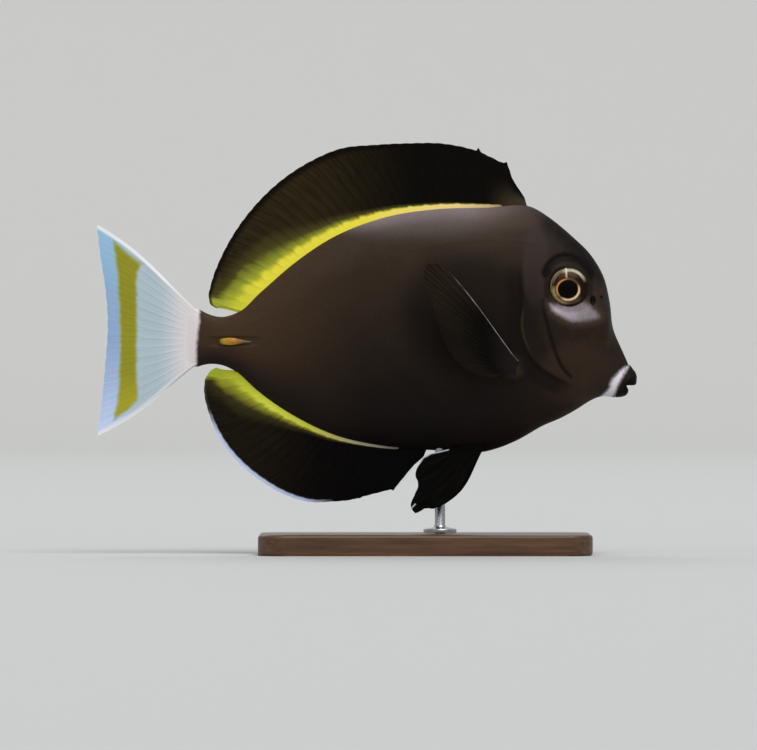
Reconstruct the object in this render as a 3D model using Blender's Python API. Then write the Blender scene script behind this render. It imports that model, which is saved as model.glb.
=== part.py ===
"""Whitecheek surgeonfish, a young adult 130 mm long, held still on a plain display stand.

The fish looks along +X with its left side at +Y. Sizes are in millimetres and are turned
to metres as each mesh is made. The stand's underside is the plane z = 0.
"""
import math

import bmesh
import bpy
import numpy as np
from mathutils import Matrix, Vector
from mathutils.bvhtree import BVHTree

MM = 0.001
GAP = 0.3            # air left between touching pieces
CUT_REACH = 120.0    # how far a cutting block reaches past the fish

# The body's sections from the tail root to the lips. Each has its point on the back (x, z),
# its point on the belly (x, z), its half-width and how sharply it closes at its two edges.
SECTIONS = [
    (-40.6, 59.2, -41.0, 45.1, 1.3, 0.50),
    (-38.2, 57.9, -38.4, 45.8, 1.9, 0.50),
    (-34.8, 57.2, -35.0, 45.6, 2.6, 0.52),
    (-31.5, 58.1, -32.2, 44.4, 3.1, 0.55),
    (-25.5, 63.2, -26.4, 39.3, 3.9, 0.60),
    (-17.8, 70.0, -19.6, 34.4, 5.0, 0.62),
    (-7.2, 76.2, -8.1, 28.7, 6.5, 0.62),
    (5.0, 80.7, 4.0, 26.0, 8.0, 0.62),
    (17.0, 82.9, 16.0, 25.1, 9.0, 0.62),
    (29.0, 83.6, 27.5, 24.6, 9.5, 0.62),
    (38.8, 83.9, 36.0, 27.4, 9.4, 0.60),
    (44.2, 80.9, 42.2, 30.9, 9.1, 0.57),
    (49.5, 76.5, 46.8, 32.9, 8.6, 0.55),
    (53.9, 72.1, 50.6, 35.0, 7.9, 0.54),
    (57.0, 66.8, 53.4, 36.8, 7.0, 0.53),
    (58.5, 60.5, 55.5, 37.8, 5.9, 0.52),
    (59.3, 54.3, 57.2, 38.1, 4.8, 0.51),
    (60.9, 50.2, 58.5, 38.0, 3.8, 0.50),
    (62.8, 46.0, 59.6, 37.8, 3.0, 0.50),
]
SECTION_ROUNDNESS = 1.9
RINGS_ALONG_BODY = 60
POINTS_ROUND_BODY = 32

# Where the body is parted: just before the tail stalk, and down the rear of the gill chamber
STALK_CUT_X = -27.4
HEAD_CUT = [(38.9, 92.0), (38.0, 77.0), (38.6, 70.0), (39.4, 61.0), (40.4, 53.0),
            (42.8, 47.2), (46.2, 43.4), (48.2, 40.8), (48.9, 36.0), (49.3, 24.0)]

# Gill cover: its front edge at the cheek and its free rear edge
GILL_FRONT = [(39.5, 71.6), (41.2, 67.6), (41.9, 61.0), (43.1, 55.7), (44.5, 51.6), (46.0, 47.0),
              (49.0, 41.9)]
GILL_REAR = [(38.4, 72.0), (37.4, 67.2), (37.7, 61.0), (37.9, 54.3), (39.0, 49.8), (41.6, 45.9),
             (48.3, 41.2)]
GILL_DEPTH = 0.6         # how far the flap is let into the side
GILL_LIFT = 0.45         # how far its rear edge stands proud
OPEN_LIFT = 3.0          # how far the cut for its seat reaches out of the side
GILL_ROWS = 14
GILL_COLUMNS = 5

# Eye
EYE_CENTRE = (48.4, 64.3)
EYE_SIDE = 6.7           # distance of its centre from the middle plane
EYE_RADIUS = 5.1
EYE_HALF_DEPTH = 2.3
EYE_LOOK = (0.10, 1.0, 0.13)
ORBIT_RADIUS = 5.4       # middle of the raised skin round the eye
ORBIT_TUBE = 0.5

# Nostrils on each side: a round one in front and a slit behind, each with a low rim
NOSTRILS = [((55.9, 60.6), 0.4, 0.55), ((54.6, 61.2), 0.35, 0.85)]
NOSTRIL_DEPTH = 0.7

# Lips, placed on the plane that ends the head. Each row has the distance from that plane,
# the lower and upper edge along it, and the half-width. A lip's sides bend towards the other lip.
LIP_NORMAL = (0.931, -0.364)
LIP_UP = (0.364, 0.931)
UPPER_LIP_ROOT = (62.0, 43.6)
UPPER_LIP = [(0.3, -2.3, 2.4, 2.9), (0.9, -2.25, 2.5, 3.2), (1.7, -2.1, 2.3, 3.1),
             (2.4, -1.95, 1.8, 2.6), (2.9, -1.8, 1.1, 1.8), (3.12, -1.6, 0.1, 0.8)]
UPPER_LIP_BEND = -1.0
LOWER_LIP_ROOT = (60.2, 39.0)
LOWER_LIP = [(0.3, -1.25, 1.75, 2.7), (0.9, -1.1, 1.8, 2.95), (1.6, -0.75, 1.7, 2.6),
             (2.2, -0.25, 1.45, 1.9), (2.6, 0.35, 1.1, 0.9)]
LOWER_LIP_BEND = 0.35

# Fins in side view. A fin's root runs along the body and its margin is given from front to rear
MIDLINE_HALVES = (0.55, 0.25, 0.14)    # half the skin at the root and at the tip, and a ray's height
TAIL_HALVES = (0.75, 0.25, 0.2)
RAY_RIDGE = 0.12         # height of a ray over a paired fin's skin at its root
PAIRED_TIP_HALF = 0.25
DORSAL_ROOT_X = (38.4, -31.5)
DORSAL_RAYS = 38         # nine spines, then twenty-nine soft rays
DORSAL_MARGIN = [(37.9, 86.2), (35.6, 89.8), (33.5, 94.0), (27.2, 96.8), (18.5, 98.9), (9.9, 99.0),
                 (1.7, 98.6), (-6.0, 97.8), (-13.7, 94.6), (-21.2, 89.6), (-28.4, 82.3),
                 (-34.8, 72.2), (-37.6, 65.2), (-38.1, 62.4), (-37.2, 60.3)]
ANAL_ROOT_X = (14.2, -32.6)
ANAL_RAYS = 30           # three spines, then twenty-seven soft rays
ANAL_MARGIN = [(12.8, 22.5), (9.4, 19.2), (6.1, 15.6), (-1.4, 13.4), (-7.0, 12.7), (-13.2, 12.5),
               (-19.3, 14.2), (-24.9, 17.3), (-30.0, 21.3), (-34.5, 26.5), (-38.2, 34.2),
               (-39.2, 39.6), (-37.6, 43.8)]
TAIL_ROOT = [(-41.0, 58.9), (-41.3, 45.4)]
TAIL_RAYS = 16
TAIL_MARGIN = [(-65.0, 79.5), (-64.2, 72.1), (-63.0, 64.4), (-62.4, 54.1), (-62.9, 46.8),
               (-63.6, 39.1), (-64.9, 28.5)]
PECTORAL_ROOT = [(36.7, 47.6), (35.4, 43.7)]
PECTORAL_RAYS = 16
PECTORAL_MARGIN = [(17.8, 69.9), (14.2, 69.5), (13.7, 65.4), (15.4, 60.6), (17.1, 55.0),
                   (19.0, 50.0), (21.9, 45.9), (25.3, 43.5), (30.1, 42.3)]
PECTORAL_ROOT_HALF = 0.75
PECTORAL_FLARE = 15.0    # degrees out from the side
PECTORAL_LOBE = (2.3, 2.0, 2.8)    # fleshy lobe before the root: length, height, half-span
PELVIC_ROOT = [(28.0, 24.2), (19.9, 25.0)]
PELVIC_RAYS = 6          # one spine, then five soft rays
PELVIC_MARGIN = [(18.0, 11.9), (11.2, 10.0), (10.5, 12.4), (11.4, 16.7), (13.0, 21.0), (16.4, 23.7)]
PELVIC_SIDE = 2.3        # distance of the root from the middle plane
PELVIC_ROOT_HALF = 0.65  # half the root's thickness, rays and all
PELVIC_FLARE = 7.0

# Folding spine on each side of the tail stalk, pointing forward
SPINE_ROOT = (-35.4, 51.3)
SPINE_LENGTH = 7.6
SPINE_HEIGHT = 1.7
SPINE_THICKNESS = 1.0
SPINE_FLARE = 9.0

# Display stand
BASE_SIZE = (80.0, 44.0, 5.0)
BASE_CENTRE_X = 14.0
BASE_CORNER = 6.0
BASE_EDGE = 0.8
ROD_X = 17.6
ROD_RADIUS = 1.25
ROD_SOCKET = 3.0         # depth let into the base
ROD_IN_BODY = 5.0
COLLAR_RADIUS = 4.0
COLLAR_HEIGHT = 1.2

COLOURS = {
    "skin": (0.030, 0.018, 0.011, 0.45),
    "lip": (0.008, 0.006, 0.005, 0.5),
    "fin": (0.012, 0.009, 0.006, 0.5),
    "tail_fin": (0.42, 0.47, 0.55, 0.45),
    "eye": (0.22, 0.12, 0.04, 0.1),
    "spine": (0.65, 0.20, 0.02, 0.4),
    "base": (0.10, 0.05, 0.03, 0.5),
    "rod": (0.55, 0.55, 0.55, 0.3),
}


def clear_scene():
    for thing in list(bpy.data.objects):
        bpy.data.objects.remove(thing, do_unlink=True)


def material(kind):
    """One plain material, made when it is first asked for."""
    found = bpy.data.materials.get(kind)
    if found:
        return found
    red, green, blue, roughness = COLOURS[kind]
    made = bpy.data.materials.new(kind)
    made.use_nodes = True
    shader = made.node_tree.nodes["Principled BSDF"]
    shader.inputs["Base Color"].default_value = (red, green, blue, 1.0)
    shader.inputs["Roughness"].default_value = roughness
    shader.inputs["Metallic"].default_value = 1.0 if kind == "rod" else 0.0
    return made


def make_object(name, points, faces, kind):
    """A mesh object from points in millimetres, with its faces turned outward."""
    mesh = bpy.data.meshes.new(name)
    mesh.from_pydata([Vector(p) * MM for p in points], [], faces)
    shape = bmesh.new()
    shape.from_mesh(mesh)
    bmesh.ops.remove_doubles(shape, verts=shape.verts, dist=1e-8)
    bmesh.ops.recalc_face_normals(shape, faces=shape.faces)
    shape.to_mesh(mesh)
    shape.free()
    mesh.materials.append(material(kind))
    made = bpy.data.objects.new(name, mesh)
    bpy.context.scene.collection.objects.link(made)
    return made


def boolean(target, operation, tools):
    """Join or cut a target with closed tools, apply it, and take the tools away."""
    group = bpy.data.collections.new("tools")
    bpy.context.scene.collection.children.link(group)
    for tool in tools:
        bpy.context.scene.collection.objects.unlink(tool)
        group.objects.link(tool)
    step = target.modifiers.new("step", "BOOLEAN")
    step.operation = operation
    step.operand_type = "COLLECTION"
    step.collection = group
    for solver in ("EXACT", "MANIFOLD"):
        step.solver = solver
        graph = bpy.context.evaluated_depsgraph_get()
        mesh = bpy.data.meshes.new_from_object(target.evaluated_get(graph))
        if len(mesh.polygons) > 0:
            break
    target.modifiers.clear()
    target.data = mesh
    for tool in tools:
        bpy.data.objects.remove(tool, do_unlink=True)
    bpy.data.collections.remove(group)
    keep_largest(target)


def keep_largest(target):
    """Keep only the largest closed surface of a mesh."""
    shape = bmesh.new()
    shape.from_mesh(target.data)
    unseen = set(shape.faces)
    groups = []
    while unseen:
        start = unseen.pop()
        group = [start]
        for face in group:
            for edge in face.edges:
                for other in edge.link_faces:
                    if other in unseen:
                        unseen.remove(other)
                        group.append(other)
        groups.append(group)
    groups.sort(key=lambda group: -sum(face.calc_area() for face in group))
    scraps = [face for group in groups[1:] for face in group]
    bmesh.ops.delete(shape, geom=scraps, context="FACES")
    shape.to_mesh(target.data)
    shape.free()


def copy_of(source, name):
    made = source.copy()
    made.data = source.data.copy()
    made.name = name
    bpy.context.scene.collection.objects.link(made)
    return made


def along(points, fractions):
    """Points on a smooth curve through the given ones, at fractions of its length."""
    points = np.array(points, float)
    steps = np.linalg.norm(np.diff(points, axis=0), axis=1)
    knots = np.concatenate([[0.0], np.cumsum(steps)]) / steps.sum()
    slopes = np.gradient(points, knots, axis=0)
    found = []
    for fraction in fractions:
        i = min(max(int(np.searchsorted(knots, fraction, side="right")) - 1, 0), len(knots) - 2)
        span = knots[i + 1] - knots[i]
        t = (fraction - knots[i]) / span
        found.append((2 * t ** 3 - 3 * t ** 2 + 1) * points[i]
                     + (t ** 3 - 2 * t ** 2 + t) * span * slopes[i]
                     + (3 * t ** 2 - 2 * t ** 3) * points[i + 1]
                     + (t ** 3 - t ** 2) * span * slopes[i + 1])
    return np.array(found)


def loft(name, rings, kind):
    """A closed solid through rings of equal count, with flat ends."""
    count = len(rings[0])
    points = [point for ring in rings for point in ring]
    faces = [tuple(range(count)), tuple(range(len(points) - count, len(points)))]
    for i in range(len(rings) - 1):
        for k in range(count):
            after = (k + 1) % count
            faces.append((i * count + k, i * count + after, (i + 1) * count + after, (i + 1) * count + k))
    return make_object(name, points, faces, kind)


def body_rings():
    rings = []
    for section in along(SECTIONS, np.linspace(0, 1, RINGS_ALONG_BODY)):
        top, bottom, width, sharpness = section[0:2], section[2:4], section[4], section[5]
        ring = []
        for k in range(POINTS_ROUND_BODY):
            angle = 2 * math.pi * k / POINTS_ROUND_BODY
            height = math.cos(angle)
            x, z = bottom + (top - bottom) * (height + 1) / 2
            fullness = max(0.0, 1 - abs(height) ** SECTION_ROUNDNESS) ** sharpness
            ring.append((x, math.copysign(width * fullness, math.sin(angle)), z))
        rings.append(ring)
    return rings


class Body:
    """The whole body's surface, for setting pieces on it."""

    def __init__(self, rings):
        self.rings = rings
        count = len(rings[0])
        points = [Vector(point) for ring in rings for point in ring]
        faces = []
        for i in range(len(rings) - 1):
            for k in range(count):
                after = (k + 1) % count
                faces.append((i * count + k, i * count + after,
                              (i + 1) * count + after, (i + 1) * count + k))
        self.tree = BVHTree.FromPolygons(points, faces)

    def side(self, x, z):
        """Half-width of the body at a place in side view."""
        hit = self.tree.ray_cast(Vector((x, 100.0, z)), Vector((0, -1, 0)))[0]
        if hit is None:
            hit = self.tree.find_nearest(Vector((x, 0.5, z)))[0]
        return hit.y

    def below(self, x, y):
        """Height of the belly at a place seen from below."""
        return self.tree.ray_cast(Vector((x, y, -100.0)), Vector((0, 0, 1)))[0].z

    def back(self, x):
        tops = sorted((ring[0][0], ring[0][2]) for ring in self.rings)
        return float(np.interp(x, [p[0] for p in tops], [p[1] for p in tops]))

    def belly(self, x):
        half = POINTS_ROUND_BODY // 2
        lows = sorted((ring[half][0], ring[half][2]) for ring in self.rings)
        return float(np.interp(x, [p[0] for p in lows], [p[1] for p in lows]))


def prism(name, outline):
    """An outline in side view carried right across the body, to cut it."""
    half_width = CUT_REACH
    count = len(outline)
    points = [(x, -half_width, z) for x, z in outline] + [(x, half_width, z) for x, z in outline]
    faces = [tuple(range(count)), tuple(range(count, 2 * count))]
    for k in range(count):
        after = (k + 1) % count
        faces.append((k, after, count + after, count + k))
    return make_object(name, points, faces, "skin")


def sheet(name, left, right, kind):
    """A thin closed solid between two grids of points, split alike on both faces."""
    rows, columns = len(left), len(left[0])
    points = [p for row in left for p in row] + [p for row in right for p in row]
    back = rows * columns
    faces = []
    for j in range(rows - 1):
        for i in range(columns - 1):
            a, b = j * columns + i, j * columns + i + 1
            c, d = a + columns, b + columns
            for three in ((a, b, d), (a, d, c)):
                faces.append(three)
                faces.append(tuple(back + corner for corner in reversed(three)))
    rim = [i for i in range(columns)]
    rim += [j * columns + columns - 1 for j in range(1, rows)]
    rim += [(rows - 1) * columns + i for i in range(columns - 2, -1, -1)]
    rim += [j * columns for j in range(rows - 2, 0, -1)]
    for k, corner in enumerate(rim):
        after = rim[(k + 1) % len(rim)]
        faces.append((corner, after, back + after, back + corner))
    return make_object(name, points, faces, kind)


def side_patch(name, body, side, depth, front_lift, rear_lift, spread, kind):
    """The gill cover's outline on one side of the body, as a solid let into it."""
    rows = np.linspace(0, 1, GILL_ROWS + 1)
    front, rear = along(GILL_FRONT, rows), along(GILL_REAR, rows)
    front[0, 1] += spread
    rear[0, 1] += spread
    front[-1, 1] -= spread
    rear[-1, 1] -= spread
    outer, inner = [], []
    for j, (ahead, behind) in enumerate(zip(front, rear)):
        across = (ahead - behind) / np.linalg.norm(ahead - behind)
        ahead, behind = ahead + across * spread, behind - across * spread
        swell = math.sin(math.pi * (j + 1) / (GILL_ROWS + 2)) ** 0.5
        outer.append([])
        inner.append([])
        for i in range(GILL_COLUMNS + 1):
            share = i / GILL_COLUMNS
            x, z = behind + (ahead - behind) * share
            lift = front_lift + (rear_lift - front_lift) * (1 - share) * swell
            surface = body.side(x, z)
            outer[-1].append((x, side * (surface + lift), z))
            inner[-1].append((x, side * (surface - depth), z))
    return sheet(name, outer, inner, kind)


def eye_frame(body, side):
    """Place and turn of an eye, looking out from the head along its own z axis."""
    look = Vector((EYE_LOOK[0], side * EYE_LOOK[1], EYE_LOOK[2])).normalized()
    turn = Vector((0, 0, 1)).rotation_difference(look).to_matrix().to_4x4()
    return Matrix.Translation(Vector((EYE_CENTRE[0], side * EYE_SIDE, EYE_CENTRE[1]))) @ turn


def ball(name, frame, radii, kind, segments=24, rings=12):
    """An ellipsoid with its third radius along the frame's z axis."""
    points = [frame @ Vector((0, 0, radii[2]))]
    for j in range(1, rings):
        down = math.pi * j / rings
        for k in range(segments):
            angle = 2 * math.pi * k / segments
            points.append(frame @ Vector((radii[0] * math.sin(down) * math.cos(angle),
                                          radii[1] * math.sin(down) * math.sin(angle),
                                          radii[2] * math.cos(down))))
    points.append(frame @ Vector((0, 0, -radii[2])))
    last = len(points) - 1
    faces = []
    for k in range(segments):
        after = (k + 1) % segments
        faces.append((0, 1 + k, 1 + after))
        faces.append((last, last - segments + after, last - segments + k))
        for j in range(rings - 2):
            low, high = 1 + j * segments, 1 + (j + 1) * segments
            faces.append((low + k, high + k, high + after, low + after))
    return make_object(name, points, faces, kind)


def surface_ring(name, body, side, centre, radii, tube, segments):
    """A rounded ridge that lies on the body round a place in side view."""
    points = []
    sides = 8
    for k in range(segments):
        angle = 2 * math.pi * k / segments
        out = Vector((math.cos(angle), 0, math.sin(angle)))
        x, z = centre[0] + radii[0] * out.x, centre[1] + radii[1] * out.z
        middle = Vector((x, side * body.side(x, z), z))
        for m in range(sides):
            turn = 2 * math.pi * m / sides
            points.append(middle + out * tube * math.cos(turn)
                          + Vector((0, side, 0)) * tube * math.sin(turn))
    faces = []
    for k in range(segments):
        for m in range(sides):
            a, b = k * sides + m, k * sides + (m + 1) % sides
            c, d = ((k + 1) % segments) * sides + m, ((k + 1) % segments) * sides + (m + 1) % sides
            faces.append((a, b, d, c))
    return make_object(name, points, faces, "skin")


def fin(name, root, margin, rays, rows, halves, kind, bow, notch, place=None):
    """A fin with its rays raised in both faces.

    Columns alternate between the crest of a ray and the thin skin between two rays. halves
    are half the skin's thickness at root and tip, and the height of a ray above it. At u of
    the way from the fin's front, bow(u) bends a ray by a share of its length, and notch(u)
    draws the margin in between two rays.
    """
    root_half, tip_half, ridge = halves
    columns = 2 * rays + 1
    across = np.linspace(0, 1, columns)
    starts = root(across)
    ends = along(margin, across)
    left, right = [], []
    for j in range(rows + 1):
        out = j / rows
        left.append([])
        right.append([])
        for i in range(columns):
            ray = ends[i] - starts[i]
            on_ray = i % 2 == 1
            reach = out
            if not on_ray and 0 < i < columns - 1:
                reach = out * (1 - notch(across[i]) / max(np.linalg.norm(ray), 1.0))
            square = np.array([ray[1], -ray[0]])
            x, z = starts[i] + ray * reach + square * bow(across[i]) * math.sin(math.pi * reach ** 1.4)
            half = root_half + (tip_half - root_half) * out ** 0.7
            if i in (0, columns - 1):
                half = max(tip_half, half * 0.6)
            if on_ray:
                half += ridge * (1 - 0.6 * out)
            y = place(x, z, out, across[i]) if place else 0.0
            left[-1].append((x, y + half, z))
            right[-1].append((x, y - half, z))
    return sheet(name, left, right, kind)


def line_root(ends):
    first, last = np.array(ends[0]), np.array(ends[1])
    return lambda across: np.array([first + (last - first) * u for u in across])


def make_flesh(body):
    """The body, with a seat for each gill cover, parted into head, trunk and tail stalk."""
    whole = loft("whole", body.rings, "skin")
    for side in (1, -1):
        seat = side_patch("seat", body, side, GILL_DEPTH + GAP, OPEN_LIFT, OPEN_LIFT, GAP, "skin")
        boolean(whole, "DIFFERENCE", [seat])
    cut = along(HEAD_CUT, np.linspace(0, 1, 28))
    slope = np.gradient(cut, axis=0)
    across = np.stack([slope[:, 1], -slope[:, 0]], axis=1)
    across /= np.linalg.norm(across, axis=1)[:, None]
    if across[0, 0] < 0:
        across = -across
    ahead, behind = cut + across * GAP / 2, cut - across * GAP / 2
    front_block = [tuple(p) for p in behind] + [(CUT_REACH, behind[-1][1]), (CUT_REACH, behind[0][1])]
    rear_block = [tuple(p) for p in ahead] + [(-CUT_REACH, ahead[-1][1]), (-CUT_REACH, ahead[0][1])]
    stalk_ahead, stalk_behind = STALK_CUT_X + GAP / 2, STALK_CUT_X - GAP / 2

    head = copy_of(whole, "head")
    trunk = copy_of(whole, "trunk")
    stalk = copy_of(whole, "tail_stalk")
    bpy.data.objects.remove(whole, do_unlink=True)
    boolean(head, "DIFFERENCE", [prism("rear", rear_block)])
    boolean(trunk, "DIFFERENCE", [prism("front", front_block)])
    tail_block = [(-CUT_REACH, 0.0), (stalk_ahead, 0.0), (stalk_ahead, CUT_REACH), (-CUT_REACH, CUT_REACH)]
    boolean(trunk, "DIFFERENCE", [prism("tail", tail_block)])
    body_block = [(stalk_behind, 0.0), (CUT_REACH, 0.0), (CUT_REACH, CUT_REACH), (stalk_behind, CUT_REACH)]
    boolean(stalk, "DIFFERENCE", [prism("body", body_block)])
    return head, trunk, stalk


def add_gill_covers(body):
    for side, word in ((1, "left"), (-1, "right")):
        side_patch("gill_cover_" + word, body, side, GILL_DEPTH, 0.05, GILL_LIFT, 0.0, "skin")


def add_eyes(body, head):
    for side, word in ((1, "left"), (-1, "right")):
        frame = eye_frame(body, side)
        lid = surface_ring("lid", body, side, EYE_CENTRE, (ORBIT_RADIUS, ORBIT_RADIUS), ORBIT_TUBE, 28)
        boolean(head, "UNION", [lid])
        seat_radii = (EYE_RADIUS + GAP, EYE_RADIUS + GAP, EYE_HALF_DEPTH + GAP)
        boolean(head, "DIFFERENCE", [ball("seat", frame, seat_radii, "skin")])
        ball("eye_" + word, frame, (EYE_RADIUS, EYE_RADIUS, EYE_HALF_DEPTH), "eye")


def add_nostrils(body, head):
    for side in (1, -1):
        for (x, z), half_width, half_height in NOSTRILS:
            rim = surface_ring("rim", body, side, (x, z), (half_width, half_height), 0.28, 12)
            boolean(head, "UNION", [rim])
            turn = Matrix.Rotation(math.pi / 2, 4, "X")
            frame = Matrix.Translation(Vector((x, side * body.side(x, z), z))) @ turn
            pit = ball("pit", frame, (half_width, half_height, NOSTRIL_DEPTH), "skin", 12, 6)
            boolean(head, "DIFFERENCE", [pit])


def add_lip(name, root, rows, bend):
    normal, up = np.array(LIP_NORMAL), np.array(LIP_UP)
    rings = []
    for distance, low, high, width in rows:
        middle = np.array(root) + normal * distance + up * (low + high) / 2
        ring = []
        for k in range(20):
            angle = 2 * math.pi * k / 20
            across = width * math.sin(angle)
            rise = (high - low) / 2 * math.cos(angle) + bend * (across / rows[1][3]) ** 2
            x, z = middle + up * rise
            ring.append((x, across, z))
        rings.append(ring)
    return loft(name, rings, "lip")


def add_midline_fins(body):
    def back_root(across):
        xs = DORSAL_ROOT_X[0] + (DORSAL_ROOT_X[1] - DORSAL_ROOT_X[0]) * across
        return np.array([(x, body.back(x) + GAP) for x in xs])

    def belly_root(across):
        xs = ANAL_ROOT_X[0] + (ANAL_ROOT_X[1] - ANAL_ROOT_X[0]) * across
        return np.array([(x, body.belly(x) - GAP) for x in xs])

    fin("dorsal_fin", back_root, DORSAL_MARGIN, DORSAL_RAYS, 5, MIDLINE_HALVES, "fin",
        bow=lambda u: 0.04, notch=lambda u: 0.5 if u < 0.28 else 0.2)
    fin("anal_fin", belly_root, ANAL_MARGIN, ANAL_RAYS, 5, MIDLINE_HALVES, "fin",
        bow=lambda u: -0.04, notch=lambda u: 0.4 if u < 0.1 else 0.2)
    fin("tail_fin", line_root(TAIL_ROOT), TAIL_MARGIN, TAIL_RAYS, 7, TAIL_HALVES, "tail_fin",
        bow=lambda u: 0.04 * (1 - 2 * u), notch=lambda u: 0.4)


def add_paired_fins(body):
    lean = math.tan(math.radians(PECTORAL_FLARE))
    splay = math.tan(math.radians(PELVIC_FLARE))
    pectoral_root = line_root(PECTORAL_ROOT)
    for side, word in ((1, "left"), (-1, "right")):
        def pectoral_place(x, z, out, u):
            root_x, root_z = pectoral_root([u])[0]
            start = body.side(root_x, root_z) + GAP + PECTORAL_ROOT_HALF
            return side * (start + lean * math.hypot(x - root_x, z - root_z))

        def pelvic_place(x, z, out, u):
            return side * (PELVIC_SIDE + splay * max(0.0, PELVIC_ROOT[0][1] - z))

        def pelvic_root(across):
            rough = line_root(PELVIC_ROOT)(across)
            return np.array([(x, body.below(x, PELVIC_SIDE - PELVIC_ROOT_HALF) - GAP) for x, z in rough])

        fin("pectoral_fin_" + word, pectoral_root, PECTORAL_MARGIN, PECTORAL_RAYS, 5,
            (PECTORAL_ROOT_HALF - RAY_RIDGE, PAIRED_TIP_HALF, RAY_RIDGE), "fin",
            bow=lambda u: 0.02, notch=lambda u: 0.3, place=pectoral_place)
        fin("pelvic_fin_" + word, pelvic_root, PELVIC_MARGIN, PELVIC_RAYS, 5,
            (PELVIC_ROOT_HALF - RAY_RIDGE, PAIRED_TIP_HALF, RAY_RIDGE), "fin",
            bow=lambda u: -0.09 * (1 - u), notch=lambda u: 0.4, place=pelvic_place)


def add_pectoral_lobes(body, trunk):
    """The fleshy lobe in front of each pectoral fin, cut square where the fin's root meets it."""
    top, foot = np.array(PECTORAL_ROOT[0]), np.array(PECTORAL_ROOT[1])
    middle = (top + foot) / 2
    along_root = (top - foot) / np.linalg.norm(top - foot)
    forward = np.array([along_root[1], -along_root[0]])
    tilt = math.atan2(along_root[0], along_root[1])
    for side in (1, -1):
        seat = Vector((middle[0], side * body.side(middle[0], middle[1]), middle[1]))
        frame = Matrix.Translation(seat) @ Matrix.Rotation(tilt, 4, "Y")
        lobe = ball("lobe", frame, PECTORAL_LOBE, "skin", 16, 10)
        near, far = middle + forward * GAP, middle - forward * 9.0
        behind = [near + along_root * 6, near - along_root * 6, far - along_root * 6, far + along_root * 6]
        boolean(lobe, "DIFFERENCE", [prism("behind", behind)])
        boolean(trunk, "UNION", [lobe])


def spine_rings(body, side, grow):
    """Rings of the blade, thick at its root and drawn out to a point."""
    lean = math.tan(math.radians(SPINE_FLARE))
    rings = []
    stations = ((0.0, 0.45), (0.1, 0.85), (0.3, 1.0), (0.6, 0.72), (0.85, 0.36), (1.0, 0.12))
    for place, size in stations:
        stretch = (place - 0.5) * (1 + 2 * grow / SPINE_LENGTH) + 0.5
        x = SPINE_ROOT[0] + SPINE_LENGTH * stretch
        y = body.side(SPINE_ROOT[0], SPINE_ROOT[1]) + 0.1 + lean * SPINE_LENGTH * place
        z = SPINE_ROOT[1] + 0.4 * place
        ring = []
        for k in range(12):
            angle = 2 * math.pi * k / 12
            ring.append((x, side * (y + (SPINE_THICKNESS / 2 * size + grow) * math.sin(angle)),
                         z + (SPINE_HEIGHT / 2 * size + grow) * math.cos(angle)))
        rings.append(ring)
    return rings


def add_tail_spines(body, stalk):
    for side, word in ((1, "left"), (-1, "right")):
        boolean(stalk, "DIFFERENCE", [loft("seat", spine_rings(body, side, GAP), "skin")])
        loft("tail_spine_" + word, spine_rings(body, side, 0.0), "spine")


def turned(name, profile, x, kind, segments=24):
    """A turned piece: its profile runs from the bottom up, as radius and height."""
    rings = []
    for radius, height in profile:
        turns = [2 * math.pi * k / segments for k in range(segments)]
        rings.append([(x + radius * math.cos(turn), radius * math.sin(turn), height) for turn in turns])
    return loft(name, rings, kind)


def add_stand(body, trunk):
    length, width, height = BASE_SIZE
    corners = [(length / 2 - BASE_CORNER, width / 2 - BASE_CORNER, 0),
               (-length / 2 + BASE_CORNER, width / 2 - BASE_CORNER, 90),
               (-length / 2 + BASE_CORNER, -width / 2 + BASE_CORNER, 180),
               (length / 2 - BASE_CORNER, -width / 2 + BASE_CORNER, 270)]
    rings = []
    for level, inset in ((0.0, 0.0), (height - BASE_EDGE, 0.0), (height - BASE_EDGE * 0.3, BASE_EDGE * 0.3),
                         (height, BASE_EDGE)):
        ring = []
        for x, y, start in corners:
            for step in range(7):
                angle = math.radians(start + 15 * step)
                radius = BASE_CORNER - inset
                across, deep = radius * math.cos(angle), radius * math.sin(angle)
                ring.append((BASE_CENTRE_X + x + across, y + deep, level))
        rings.append(ring)
    base = loft("stand_base", rings, "base")
    floor = height - ROD_SOCKET
    top = body.belly(ROD_X) + ROD_IN_BODY
    hole = ROD_RADIUS + GAP
    boolean(base, "DIFFERENCE", [turned("hole", [(hole, floor), (hole, height + 5)], ROD_X, "base")])
    boolean(trunk, "DIFFERENCE", [turned("hole", [(hole, 10.0), (hole, top)], ROD_X, "skin")])
    foot = height + GAP
    profile = [(ROD_RADIUS, floor + GAP), (ROD_RADIUS, foot), (COLLAR_RADIUS, foot),
               (COLLAR_RADIUS, foot + COLLAR_HEIGHT * 0.6), (COLLAR_RADIUS * 0.8, foot + COLLAR_HEIGHT),
               (ROD_RADIUS, foot + COLLAR_HEIGHT), (ROD_RADIUS, top - GAP)]
    turned("stand_rod", profile, ROD_X, "rod")


def shade(made):
    made.data.shade_smooth()
    made.data.set_sharp_from_angle(angle=math.radians(40))


def main():
    clear_scene()
    body = Body(body_rings())
    head, trunk, stalk = make_flesh(body)
    add_gill_covers(body)
    add_eyes(body, head)
    add_nostrils(body, head)
    add_lip("upper_lip", UPPER_LIP_ROOT, UPPER_LIP, UPPER_LIP_BEND)
    add_lip("lower_lip", LOWER_LIP_ROOT, LOWER_LIP, LOWER_LIP_BEND)
    add_midline_fins(body)
    add_paired_fins(body)
    add_pectoral_lobes(body, trunk)
    add_tail_spines(body, stalk)
    add_stand(body, trunk)
    for made in bpy.context.scene.objects:
        shade(made)


main()
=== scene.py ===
# A whitecheek surgeonfish as a still, life-size model on a display stand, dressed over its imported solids.
# The fish looks along +X with its left side at +Y. Sizes are in millimetres until a mesh is filled.
import math

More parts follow.
